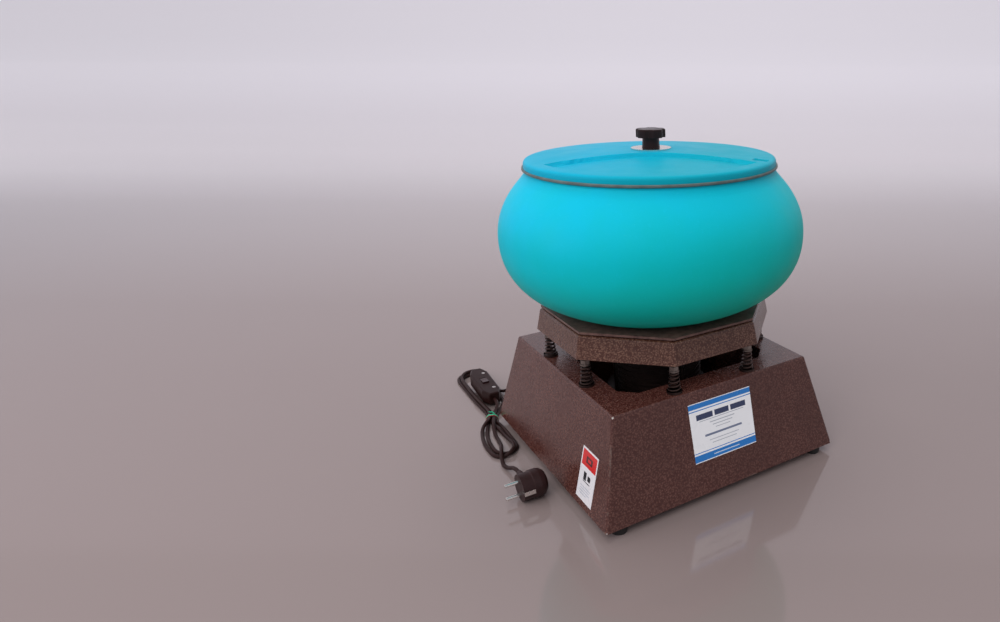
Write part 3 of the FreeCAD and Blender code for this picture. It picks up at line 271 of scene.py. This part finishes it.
# ------------------------------------------------------------------ materials
def hammered(name, base, lighter, cell, rough, bump, contrast=1.0, chips=(), wear=False):
    """Hammer-finish enamel: shallow round dimples with darker veins between them, chipped and rubbed bare at the edges."""
    m = Mat(name, base, rough, Coat_Weight=0.42, Coat_Roughness=0.08, Specular_IOR_Level=0.35)
    warp = m.noise(150.0, 2.0)
    add = m.n("ShaderNodeVectorMath", operation="MULTIPLY_ADD")
    m.link(warp, add.inputs[0])
    add.inputs[1].default_value = (0.0035, 0.0035, 0.0035)
    m.link(m.coords(), add.inputs[2])
    v = m.voronoi(1.0 / cell, "SMOOTH_F1", add.outputs[0], smooth=0.25)
    d = v.outputs["Distance"]
    fine = m.noise(1500.0, 3.0, 0.6)
    wide = m.noise(8.0, 3.0, 0.6)
    grain = m.noise(1.3 / cell, 2.0, 0.6)
    cells = m.ramp(d, [(0.16, (1.0, 1.0, 1.0)), (0.44, (0.42, 0.42, 0.42)), (0.60, (0.0, 0.0, 0.0))])
    cells = m.math("MULTIPLY", cells, m.map(grain, 0.34, 0.62, 0.35, 1.0))
    cells = m.math("MULTIPLY", cells, contrast)
    col = m.mix(cells, base, lighter)
    col = m.mix(m.map(wide, 0.35, 0.7, 0.0, 0.4), col, tuple(c * 0.6 for c in base))
    if wear:
        x, y, z = m.xyz()
        n = m.noise(260.0, 4.0, 0.7)
        line = m.math("LESS_THAN", m.math("ABSOLUTE", m.math("SUBTRACT", x, y)), m.math("MULTIPLY", n, 0.0034))
        corner = m.math("MULTIPLY", m.math("MULTIPLY", line, m.math("LESS_THAN", x, -0.10)), m.math("LESS_THAN", z, 0.1430))
        foot = m.math("LESS_THAN", z, m.math("ADD", m.math("MULTIPLY", n, 0.0036), 0.0113))
        rubbed = m.math("MULTIPLY", m.math("MAXIMUM", corner, foot), m.map(m.noise(26.0, 6.0, 0.8), 0.52, 0.62, 0.0, 0.55))
        col = m.mix(rubbed, col, (0.17, 0.125, 0.105))
    for cx, cy, cz, rad in chips:
        c = m.n("ShaderNodeVectorMath", operation="DISTANCE")
        m.link(m.coords(), c.inputs[0])
        c.inputs[1].default_value = (cx, cy, cz)
        edge = m.math("ADD", c.outputs["Value"], m.math("MULTIPLY", m.math("SUBTRACT", m.noise(420.0, 3.0, 0.7), 0.5), rad * 1.8))
        mask = m.math("LESS_THAN", edge, rad)
        col = m.mix(mask, col, (0.50, 0.46, 0.43))
    m.colour(col)
    m.roughness(m.map(m.noise(30.0, 4.0, 0.6), 0.3, 0.7, rough - 0.04, rough + 0.07))
    h = m.math("ADD", m.math("MULTIPLY", d, -1.0), m.math("MULTIPLY", fine, 0.05))
    m.bump(h, bump, cell * 0.22, coat=True)
    return m


CH = math.radians(13.38)
base_paint = hammered("base_hammer_paint", (0.0620, 0.0180, 0.0140), (0.200, 0.092, 0.072), 0.0024, 0.24, 0.30, 0.80, wear=True,
                      chips=[(-0.1495, -0.1495, 0.143, 0.0024), (-0.181, -0.181, 0.013, 0.0028), (-0.163, -0.163, 0.094, 0.0016),
                             (-0.166, -0.166, 0.074, 0.0013), (-0.1525, -0.1525, 0.1385, 0.0012), (0.1795, -0.1795, 0.014, 0.002)])
skirt_paint = hammered("pan_hammer_paint", (0.060, 0.0190, 0.0120), (0.300, 0.165, 0.115), 0.0022, 0.28, 0.55, 0.72)

plate = Mat("plate_paint", (0.10, 0.05, 0.045), 0.36, Coat_Weight=0.2)
plate.colour(plate.ramp(plate.noise(140.0, 4.0, 0.6), [(0.35, (0.075, 0.036, 0.032)), (0.6, (0.15, 0.080, 0.068))]))
plate.bump(plate.noise(600.0, 3.0), 0.12, 0.0004)


def rubber(name, col, rough=0.62, grain=900.0, sheen=0.0):
    m = Mat(name, col, rough, Specular_IOR_Level=0.4)
    n = m.noise(60.0, 4.0, 0.6)
    m.colour(m.mix(m.map(n, 0.3, 0.75, 0.0, 1.0), tuple(c * 0.75 for c in col), tuple(min(1.0, c * 1.35) for c in col)))
    m.roughness(m.map(m.noise(25.0, 3.0), 0.3, 0.7, rough - 0.08, rough + 0.1))
    m.bump(m.noise(grain, 3.0, 0.6), 0.16, 0.0003)
    return m


def metal(name, col, rough, scale=(1, 1, 1), grain=500.0, stain=0.25, bump=0.05):
    m = Mat(name, col, rough, 1.0)
    v = m.mapped(scale)
    n = m.noise(grain, 4.0, 0.6, v)
    w = m.noise(45.0, 4.0, 0.65)
    m.colour(m.mix(m.map(w, 0.42, 0.75, 0.0, stain), col, tuple(c * 0.45 for c in col)))
    m.roughness(m.map(n, 0.25, 0.75, max(0.05, rough - 0.1), rough + 0.14))
    m.bump(n, bump, 0.0003)
    return m


def plastic(name, col, rough, grain=1100.0, bump=0.10, **more):
    m = Mat(name, col, rough, **more)
    n = m.noise(35.0, 4.0, 0.6)
    m.colour(m.mix(m.map(n, 0.3, 0.75, 0.0, 1.0), tuple(c * 0.82 for c in col), tuple(min(1.0, c * 1.2) for c in col)))
    m.roughness(m.map(m.noise(55.0, 4.0, 0.6), 0.3, 0.7, rough - 0.06, rough + 0.08))
    m.bump(m.noise(grain, 2.0, 0.5), bump, 0.00025)
    return m


def polyethylene(name, top, low, z_top, z_low, rough):
    """Rotationally moulded tub plastic with faint cloudiness, soft sheen and a fine orange peel; its colour blends from
    the top colour to the low colour lower down and towards +x, -y, which is painted shade and painted floor reflection.
    """
    m = Mat(name, top, rough, Subsurface_Weight=0.06, Subsurface_Scale=0.01, Specular_IOR_Level=0.16)
    m.set("Subsurface Radius", (0.2, 0.9, 1.0))
    x, y, z = m.xyz()
    # painted shade and painted floor reflection: the blend towards the low colour runs lower down and towards +x, -y
    light_fall = m.math("ADD", z, m.math("MULTIPLY", m.math("SUBTRACT", y, x), 0.16))
    g = m.map(light_fall, z_low, z_top, 0.0, 1.0)
    col = m.mix(g, low, top)
    cloud = m.noise(14.0, 5.0, 0.6)
    col = m.mix(m.map(cloud, 0.35, 0.7, 0.0, 0.22), col, tuple(c * 0.80 for c in low))
    fleck = m.noise(210.0, 2.0, 0.7)
    col = m.mix(m.map(fleck, 0.60, 0.78, 0.0, 0.16), col, tuple(min(1.0, c * 1.25 + 0.02) for c in top))
    # scuffs: short pale scratches running round the shell
    sc = m.noise(60.0, 3.0, 0.7, m.mapped((1.0, 1.0, 9.0)), 0.4)
    col = m.mix(m.map(sc, 0.66, 0.80, 0.0, 0.10), col, (0.35, 0.80, 0.88))
    m.colour(col)
    m.roughness(m.map(m.noise(22.0, 4.0, 0.6), 0.3, 0.7, rough - 0.05, rough + 0.08))
    peel = m.math("ADD", m.math("MULTIPLY", m.noise(330.0, 2.0, 0.5), 0.7), m.math("MULTIPLY", m.noise(60.0, 2.0, 0.5), 1.3))
    m.bump(peel, 0.10, 0.0006)
    return m


# each shell's low colour is painted shade and painted floor reflection, blended in lower down and towards +x, -y
bowl_mat = polyethylene("bowl_polyethylene", (0.000, 0.450, 0.640), (0.000, 0.520, 0.370), 0.385, 0.205, 0.50)
lid_mat = polyethylene("lid_polyethylene", (0.000, 0.355, 0.530), (0.000, 0.335, 0.440), 0.425, 0.40, 0.46)
black_rubber = rubber("black_rubber", (0.016, 0.015, 0.015))
trim = rubber("trim_rubber", (0.105, 0.128, 0.125), 0.5)
zinc = metal("zinc_steel", (0.34, 0.30, 0.275), 0.32, stain=0.6)
dark_steel = metal("dark_steel", (0.085, 0.060, 0.055), 0.42)
spring_steel = metal("spring_steel", (0.115, 0.075, 0.065), 0.36, stain=0.5)
polished = metal("polished_steel", (0.80, 0.77, 0.72), 0.16, stain=0.12, bump=0.02)
# the motor castings are near-black to stand in for the shade inside the base under the pan: painted shade
cast = rubber("motor_shade_dark", (0.016, 0.010, 0.009), 0.42, 420.0)
lamination = metal("lamination_steel", (0.27, 0.27, 0.28), 0.40, (0.05, 0.05, 1.0), 1800.0, bump=0.3)
copper = metal("copper_winding", (0.62, 0.25, 0.10), 0.35, (1, 1, 0.2), 900.0, bump=0.4)
bearing = metal("bearing_steel", (0.74, 0.74, 0.75), 0.15)
ground = metal("ground_steel", (0.66, 0.66, 0.66), 0.22, (0.2, 0.2, 2.0))
iron = metal("cast_iron", (0.14, 0.13, 0.13), 0.58, grain=320.0, bump=0.35)
brass = metal("brass", (0.72, 0.50, 0.20), 0.28)
black_plastic = plastic("black_plastic", (0.017, 0.0060, 0.0052), 0.34, Specular_IOR_Level=0.25)
rocker_plastic = plastic("rocker_plastic", (0.030, 0.012, 0.012), 0.24)
knob_plastic = plastic("knob_plastic", (0.0125, 0.0045, 0.0042), 0.30, 600.0, 0.22, Specular_IOR_Level=0.3)
white_plastic = plastic("white_plastic", (0.75, 0.74, 0.70), 0.4)
sheath = plastic("cord_sheath", (0.022, 0.0085, 0.0075), 0.42, 700.0, 0.14, Specular_IOR_Level=0.25)
plug_rubber = plastic("plug_rubber", (0.026, 0.0100, 0.0100), 0.40, 800.0, 0.2, Specular_IOR_Level=0.3)
nickel = metal("nickel_pin", (0.83, 0.80, 0.76), 0.20, stain=0.1)
green_tie = plastic("green_tie", (0.020, 0.420, 0.230), 0.45)
red_tie = plastic("red_tie", (0.260, 0.020, 0.020), 0.45)


def rect(m, u, v, u0, u1, v0, v1):
    a = m.math("COMPARE", u, (u0 + u1) / 2, (u1 - u0) / 2)
    b = m.math("COMPARE", v, (v0 + v1) / 2, (v1 - v0) / 2)
    return m.math("MULTIPLY", a, b)


def label(name, u_of, v_of, blocks, paper=(0.90, 0.92, 0.95)):
    """A printed film label: plain blocks and rules only."""
    m = Mat(name, paper, 0.28, Coat_Weight=0.4, Coat_Roughness=0.1)
    x, y, z = m.xyz()
    axis, centre, size = u_of
    src = {"x": x, "y": y}[axis.strip("-")]
    s = -1.0 if axis.startswith("-") else 1.0
    u = m.math("ADD", m.math("MULTIPLY", src, s / size), 0.5 - s * centre / size)
    cz, high = v_of
    v = m.math("ADD", m.math("MULTIPLY", z, 1.0 / high), 0.5 - cz / high)
    col = m.mix(m.map(m.noise(70.0, 4.0, 0.6), 0.4, 0.75, 0.0, 0.25), paper, tuple(c * 0.9 for c in paper))
    for u0, u1, v0, v1, c in blocks:
        col = m.mix(rect(m, u, v, u0, u1, v0, v1), col, c)
    m.colour(col)
    m.roughness(m.map(m.noise(40.0, 3.0), 0.3, 0.7, 0.22, 0.34))
    m.bump(m.noise(120.0, 3.0), 0.04, 0.0004)
    return m


BLUE, DEEP, GREY, INK = (0.010, 0.185, 0.560), (0.010, 0.060, 0.300), (0.42, 0.46, 0.52), (0.030, 0.045, 0.110)
front = [(0, 1, 0.905, 0.99, BLUE), (0, 1, 0.862, 0.878, BLUE), (0, 1, 0.015, 0.130, BLUE), (0, 1, 0.158, 0.172, BLUE),
         (0.10, 0.36, 0.705, 0.800, INK), (0.39, 0.62, 0.705, 0.800, INK), (0.65, 0.90, 0.705, 0.800, INK), (0.14, 0.86, 0.672, 0.684, GREY), (0.30, 0.70, 0.612, 0.628, GREY),
         (0.34, 0.66, 0.560, 0.574, GREY), (0.38, 0.62, 0.508, 0.520, GREY), (0.20, 0.80, 0.400, 0.436, (0.16, 0.20, 0.30)),
         (0.26, 0.74, 0.318, 0.330, GREY), (0.30, 0.70, 0.262, 0.274, GREY), (0.30, 0.72, 0.062, 0.080, (0.55, 0.66, 0.82))]
side = [(0.05, 0.95, 0.66, 0.965, (0.600, 0.022, 0.022)), (0.30, 0.70, 0.740, 0.870, (0.055, 0.020, 0.022)), (0.40, 0.60, 0.775, 0.835, (0.600, 0.022, 0.022)),
        (0.28, 0.46, 0.400, 0.560, (0.03, 0.03, 0.035)), (0.54, 0.72, 0.430, 0.530, (0.03, 0.03, 0.035)), (0.28, 0.72, 0.372, 0.388, (0.03, 0.03, 0.035)),
        (0.18, 0.82, 0.262, 0.278, GREY), (0.18, 0.76, 0.212, 0.228, GREY), (0.18, 0.80, 0.162, 0.178, GREY), (0.18, 0.60, 0.112, 0.128, GREY)]
front_mat = label("front_label_print", ("x", 0.0005, 0.096), (0.091, 0.077 * math.cos(CH)), front)
side_mat = label("side_label_print", ("-y", -0.1155, 0.041), (0.053, 0.0665 * math.cos(CH)), side, (0.76, 0.74, 0.76))

FINISH = {
    "base_housing": base_paint, "pan_skirt": skirt_paint, "carrier_plate": plate, "plate_gasket": black_rubber,
    "rubber_feet": black_rubber, "foot_screws": zinc, "foot_nuts": zinc, "front_label": front_mat, "side_label": side_mat,
    "suspension_springs": spring_steel, "spring_seats": dark_steel, "seat_rivets": dark_steel, "spring_studs": zinc,
    "spring_lower_nuts": zinc, "spring_upper_nuts": zinc, "motor_housing": cast, "upper_end_bell": cast, "lower_end_bell": cast,
    "stator_core": lamination, "stator_windings": copper, "rotor_core": lamination, "motor_bearings": bearing,
    "motor_tie_bolts": zinc, "motor_standoffs": zinc, "motor_mount_bolts": zinc, "motor_shaft": ground,
    "upper_eccentric_weight": iron, "lower_eccentric_weight": iron, "weight_set_screws": dark_steel, "cooling_fan": black_plastic,
    "centre_rod": zinc, "rod_lock_nuts": zinc, "bowl": bowl_mat, "bowl_washer": zinc, "bowl_nut": zinc, "lid": lid_mat,
    "lid_edge_trim": trim, "lid_washer": polished, "knob_grip": knob_plastic, "knob_insert": brass, "strain_relief": black_rubber,
    "gland_nut": black_plastic, "terminal_block": white_plastic, "terminal_screws": brass, "inner_lead": sheath,
    "cord_lead": sheath, "cord_hank": sheath, "cord_tail": sheath, "twist_tie": green_tie, "switch_top_shell": black_plastic,
    "switch_bottom_shell": black_plastic, "switch_rocker": rocker_plastic, "switch_screws": nickel, "plug_body": plug_rubber,
    "plug_pins": nickel, "earth_contacts": nickel,
}
for n in nodes:
    put(n, FINISH[n])
cord.data.materials.append(sheath.m)


# ------------------------------------------------------------------ mesh helpers
def new_object(name, bm, mat, body, replaces=(), smooth_angle=35.0):
    me = bpy.data.meshes.new(name)
    bm.normal_update()
    bm.to_mesh(me)
    bm.free()
    o = bpy.data.objects.new(name, me)
    scene.collection.objects.link(o)
    me.materials.append(mat.m)
    for p in me.polygons:
        p.use_smooth = True
    me.set_sharp_from_angle(angle=math.radians(smooth_angle))
    if body:
        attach(o, body)
    if replaces:
        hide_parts(*replaces)
    return o


def smooth_through(pts, per=6):
    """Points on a curve through pts (uniform Catmull-Rom)."""
    P = [Vector(p) for p in pts]
    P = [P[0] * 2 - P[1]] + P + [P[-1] * 2 - P[-2]]
    out = []
    for i in range(1, len(P) - 2):
        p0, p1, p2, p3 = P[i - 1:i + 3]
        for k in range(per):
            t = k / per
            a = -p0 + 3 * p1 - 3 * p2 + p3
            b = 2 * p0 - 5 * p1 + 4 * p2 - p3
            c = -p0 + p2
            out.append(0.5 * (((a * t + b) * t + c) * t + 2 * p1))
    out.append(P[-2])
    return out


def spin(profile, segments=176):
    """Closed ring of (radius, z) points turned about Z."""
    bm = bmesh.new()
    rows = []
    for k in range(segments):
        a = 2 * math.pi * k / segments
        c, s = math.cos(a), math.sin(a)
        rows.append([bm.verts.new((r * c, r * s, z)) for r, z in profile])
    n = len(profile)
    for k in range(segments):
        A, B = rows[k], rows[(k + 1) % segments]
        for i in range(n):
            j = (i + 1) % n
            bm.faces.new((A[i], A[j], B[j], B[i]))
    bmesh.ops.recalc_face_normals(bm, faces=bm.faces)
    return bm


def mm(pts):
    return [(a / 1000.0, b / 1000.0) for a, b in pts]


# ------------------------------------------------------------------ CAD nodes: smooth shading, soft edges
for n, o in nodes.items():
    for p in o.data.polygons:
        p.use_smooth = True
    o.data.set_sharp_from_angle(angle=math.radians(28.0))


# ------------------------------------------------------------------ springs
def tube(bm, path, radius, sides=10, caps=True):
    """Round tube along a list of points, with a steady frame."""
    rings = []
    up = Vector((0, 0, 1))
    for i, p in enumerate(path):
        t = (path[min(i + 1, len(path) - 1)] - path[max(i - 1, 0)]).normalized()
        a = t.cross(up)
        if a.length < 1e-6:
            a = Vector((1, 0, 0))
        a.normalize()
        b = t.cross(a).normalized()
        r = radius(i / (len(path) - 1)) if callable(radius) else radius
        rings.append([bm.verts.new(p + (a * math.cos(2 * math.pi * k / sides) + b * math.sin(2 * math.pi * k / sides)) * r)
                      for k in range(sides)])
    for A, B in zip(rings[:-1], rings[1:]):
        for k in range(sides):
            bm.faces.new((A[k], A[(k + 1) % sides], B[(k + 1) % sides], B[k]))
    if caps:
        bm.faces.new(list(reversed(rings[0])))
        bm.faces.new(rings[-1])


def make_springs():
    bm = bmesh.new()
    places = []
    for sx in (-1, 1):
        for sy in (-1, 1):
            places += [(sx * 0.0565, sy * 0.1365), (sx * 0.1365, sy * 0.0565)]
    wire, low, high, turns = 0.00132, 0.1458, 0.1726, 5.3
    n = int(turns * 22)
    for idx, (cx, cy) in enumerate(places):
        path = []
        for i in range(n + 1):
            t = i / n
            closed = 0.15
            u = min(max((t - closed) / (1 - 2 * closed), 0.0), 1.0)
            z = low + wire + 2 * wire * min(t / closed, 1.0) * 0.9 + (high - low - 2 * wire - 4 * wire * 0.9) * u \
                + 2 * wire * max((t - 1 + closed) / closed, 0.0) * 0.9
            r = 0.0086 - 0.0026 * t - wire
            a = 2 * math.pi * turns * t + idx * 1.3
            path.append(Vector((cx + r * math.cos(a), cy + r * math.sin(a), z)))
        tube(bm, path, wire, 9)
    o = new_object("conical_springs", bm, spring_steel, None, (), 50.0)
    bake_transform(o)
    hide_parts("suspension_springs")
    return o


make_springs()


# ------------------------------------------------------------------ lid
def lid_relief(x, y):
    """Depth below the crown at (x, y) in millimetres: the crescent recess and the small notch beside it, with soft edges."""
    def soft(sd, half):
        t = min(max((half - sd) / (2 * half), 0.0), 1.0)
        return t * t * (3 - 2 * t)

    rad = math.hypot(x, y)
    cres = max(rad - 145.5, math.hypot(x + 135.2, y + 232.6) - 233.0)
    depth = 4.6 * soft(cres, 0.85)
    a = math.radians(-52.3)
    dx, dy = x - 89.1, y + 115.4
    u, v = dx * math.cos(a) + dy * math.sin(a), -dx * math.sin(a) + dy * math.cos(a)
    box = max(abs(u) - 8.5, abs(v) - 6.0)
    return max(depth, 5.0 * soft(box, 0.8))


def make_lid():
    crown = [(4.6, 421.0), (15.8, 421.0), (27.0, 420.95), (45.0, 420.2), (70.0, 418.7), (100.0, 416.6), (125.0, 414.8), (145.0, 413.1), (154.5, 412.2)]
    shoulder = [(154.5, 412.2), (157.4, 411.75), (159.5, 410.9), (160.8, 409.5), (161.4, 407.6), (161.6, 405.4), (161.7, 403.06)]
    top = [(p.x, p.y) for p in smooth_through([(a, b, 0) for a, b in crown], 16)]
    edge = [(p.x, p.y) for p in smooth_through([(a, b, 0) for a, b in shoulder], 4)]
    ring = top + edge[1:]
    under = [(152.9, 403.06), (152.9, 397.7), (152.3, 397.2), (149.8, 397.2), (149.2, 397.7), (149.2, 404.0), (125.0, 405.9), (100.0, 407.6), (60.0, 410.4), (4.6, 412.0)]
    segments = 400
    bm = bmesh.new()
    rows = []
    for k in range(segments):
        t = 2 * math.pi * k / segments
        c, sn = math.cos(t), math.sin(t)
        row = []
        for r, z in ring:
            row.append(bm.verts.new((r * c / 1000, r * sn / 1000, (z - (lid_relief(r * c, r * sn) if r < 156 else 0.0)) / 1000)))
        for r, z in under:
            row.append(bm.verts.new((r * c / 1000, r * sn / 1000, z / 1000)))
        rows.append(row)
    n = len(rows[0])
    for k in range(segments):
        A, B = rows[k], rows[(k + 1) % segments]
        for i in range(n):
            j = (i + 1) % n
            bm.faces.new((A[i], B[i], B[j], A[j]))
    bmesh.ops.recalc_face_normals(bm, faces=bm.faces)
    return new_object("tub_lid", bm, lid_mat, "lid_unit", ("lid",), 50.0)


make_lid()


# ------------------------------------------------------------------ twisted tie round the waist of the hank
def make_tie():
    turn = Matrix.Translation(Vector((-0.191, 0.184, 0.0))) @ Matrix.Rotation(math.radians(-20.0), 4, "Z")
    out = []
    for name, mat, y0, lift, wide in (("tie_wrap", green_tie, 0.0, 0.0, 0.0030), ("tie_wrap_low", red_tie, -0.0034, 0.0, 0.0022)):
        bm = bmesh.new()
        loop = [(-0.0093, 0.0030), (-0.0091, 0.0010), (-0.0070, 0.00035), (0.0, 0.0002), (0.0070, 0.00035), (0.0091, 0.0010), (0.0093, 0.0030),
                (0.0086, 0.0060), (0.0068, 0.0092), (0.0040, 0.0110), (0.0, 0.0113), (-0.0040, 0.0110), (-0.0068, 0.0092), (-0.0086, 0.0060)]
        pts = smooth_through([(a, y0 + 0.0002 * math.sin(3.0 * i), b) for i, (a, b) in enumerate(loop + loop[:1])], 4)[:-1]
        rows = []
        n = len(pts)
        for i, p in enumerate(pts):
            t = (pts[(i + 1) % n] - pts[i - 1]).normalized()
            nrm = Vector((t.z, 0, -t.x))
            rows.append([bm.verts.new(p + Vector((0, s * wide / 2, 0)) + nrm * k) for s, k in
                         ((-1, 0.0), (-0.5, 0.0004), (0.5, 0.0004), (1, 0.0), (0.5, -0.0003), (-0.5, -0.0003))])
        for i in range(n):
            A, B = rows[i], rows[(i + 1) % n]
            for k in range(6):
                bm.faces.new((A[k], A[(k + 1) % 6], B[(k + 1) % 6], B[k]))
        bmesh.ops.recalc_face_normals(bm, faces=bm.faces)
        bm.transform(turn)
        out.append(new_object(name, bm, mat, "base"))
    # the twisted ends: two flat strips wound round each other, lying back on the bundle
    bm = bmesh.new()
    for phase in (0.0, math.pi):
        path = []
        for i in range(31):
            t = i / 30
            spread = 0.00055 + (0.0014 * max(0.0, t - 0.72) / 0.28)
            a = phase + 2 * math.pi * 2.6 * min(t, 0.72)
            base = Vector((0.0042 - 0.0075 * t, 0.0006 + 0.0070 * t, 0.0119 + 0.0018 * math.sin(math.pi * min(1.0, t * 1.1))))
            path.append(base + Vector((0.8 * math.cos(a), 0.5 * math.cos(a), math.sin(a))) * spread)
        tube(bm, path, 0.00050, 8)
    bm.transform(turn)
    out.append(new_object("tie_ends", bm, green_tie, "base"))
    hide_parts("twist_tie")
    return out


ties = make_tie()

# ------------------------------------------------------------------ stage
def stage_mat(name, near, far, rough):
    m = Mat(name, near, rough, Specular_IOR_Level=0.5)
    m.roughness(m.map(m.noise(3.0, 3.0), 0.3, 0.7, rough - 0.01, rough + 0.02))
    return m


def make_stage():
    bm = bmesh.new()
    profile = [(-14.0, 0.0), (-3.0, 0.0), (-1.5, 0.0), (0.0, 0.0), (1.2, 0.0), (2.4, 0.0), (2.9, 0.02), (3.4, 0.10), (3.9, 0.28), (4.3, 0.60), (4.55, 1.10), (4.6, 1.8), (4.6, 4.0)]
    rows = []
    d = Vector((math.sin(0.6225), math.cos(0.6225), 0))
    s = Vector((math.cos(0.6225), -math.sin(0.6225), 0))
    for a in (-14.0, -5.0, 0.0, 5.0, 14.0):
        rows.append([bm.verts.new(d * p + s * a + Vector((0, 0, z))) for p, z in profile])
    for A, B in zip(rows[:-1], rows[1:]):
        for i in range(len(profile) - 1):
            bm.faces.new((A[i], B[i], B[i + 1], A[i + 1]))
    me = bpy.data.meshes.new("floor_sweep")
    bm.to_mesh(me)
    bm.free()
    for p in me.polygons:
        p.use_smooth = True
    o = bpy.data.objects.new("floor_sweep", me)
    scene.collection.objects.link(o)
    # painted light: the floor runs from dark and warm near the object to pale lavender far back, and the far part of
    # the sweep glows, standing in for the light's falloff and a bright backdrop
    m = Mat("floor_painted_light", (0.36, 0.32, 0.32), 0.22, Specular_IOR_Level=0.85)
    x, y, z = m.xyz()
    along = m.math("ADD", m.math("MULTIPLY", x, d.x), m.math("MULTIPLY", y, d.y))
    along = m.math("ADD", along, m.math("MULTIPLY", z, 1.2))
    far = m.map(along, -1.0, 5.0, 0.0, 1.0)
    col = m.ramp(far, [(0.0, (0.235, 0.186, 0.178)), (0.26, (0.245, 0.194, 0.186)), (0.40, (0.34, 0.29, 0.29)), (0.62, (0.55, 0.50, 0.52)), (0.90, (0.74, 0.71, 0.76))])
    m.colour(col)
    m.set("Emission Color", (0.98, 0.95, 1.0, 1.0))
    m.link(m.map(m.ramp(far, [(0.20, (0, 0, 0)), (0.45, (0.16, 0.16, 0.16)), (0.70, (0.65, 0.65, 0.65)), (0.95, (1, 1, 1))]), 0.0, 1.0, 0.0, 0.27), m.b.inputs["Emission Strength"])
    m.roughness(m.map(m.noise(2.0, 3.0), 0.3, 0.7, 0.06, 0.09))
    me.materials.append(m.m)
    return o


make_stage()

world = bpy.data.worlds.new("studio")
scene.world = world
world.use_nodes = True
bg = world.node_tree.nodes["Background"]
bg.inputs["Color"].default_value = (0.74, 0.72, 0.78, 1.0)
bg.inputs["Strength"].default_value = 0.62


def area(name, loc, target, size, power, colour=(1, 1, 1)):
    data = bpy.data.lights.new(name, "AREA")
    data.shape = "RECTANGLE"
    data.size, data.size_y = size
    data.energy = power
    data.color = colour
    o = bpy.data.objects.new(name, data)
    scene.collection.objects.link(o)
    d = Vector(target) - Vector(loc)
    o.matrix_world = Matrix.Translation(Vector(loc)) @ d.to_track_quat("-Z", "Y").to_matrix().to_4x4()
    o.visible_glossy = False
    return o


area("key", (-1.5, -1.3, 2.0), (0, 0, 0.25), (2.0, 1.6), 40.0, (1.0, 0.985, 0.97))
area("side_left", (-2.1, 0.7, 0.95), (0, 0, 0.15), (1.4, 1.4), 16.0, (0.93, 0.93, 1.0))
area("top", (0.1, 0.5, 2.4), (0, 0, 0.3), (2.0, 2.0), 26.0, (1.0, 1.0, 1.0))
area("fill_right", (1.7, -1.6, 1.1), (0, 0, 0.2), (1.3, 1.3), 3.0, (1.0, 0.95, 0.92))

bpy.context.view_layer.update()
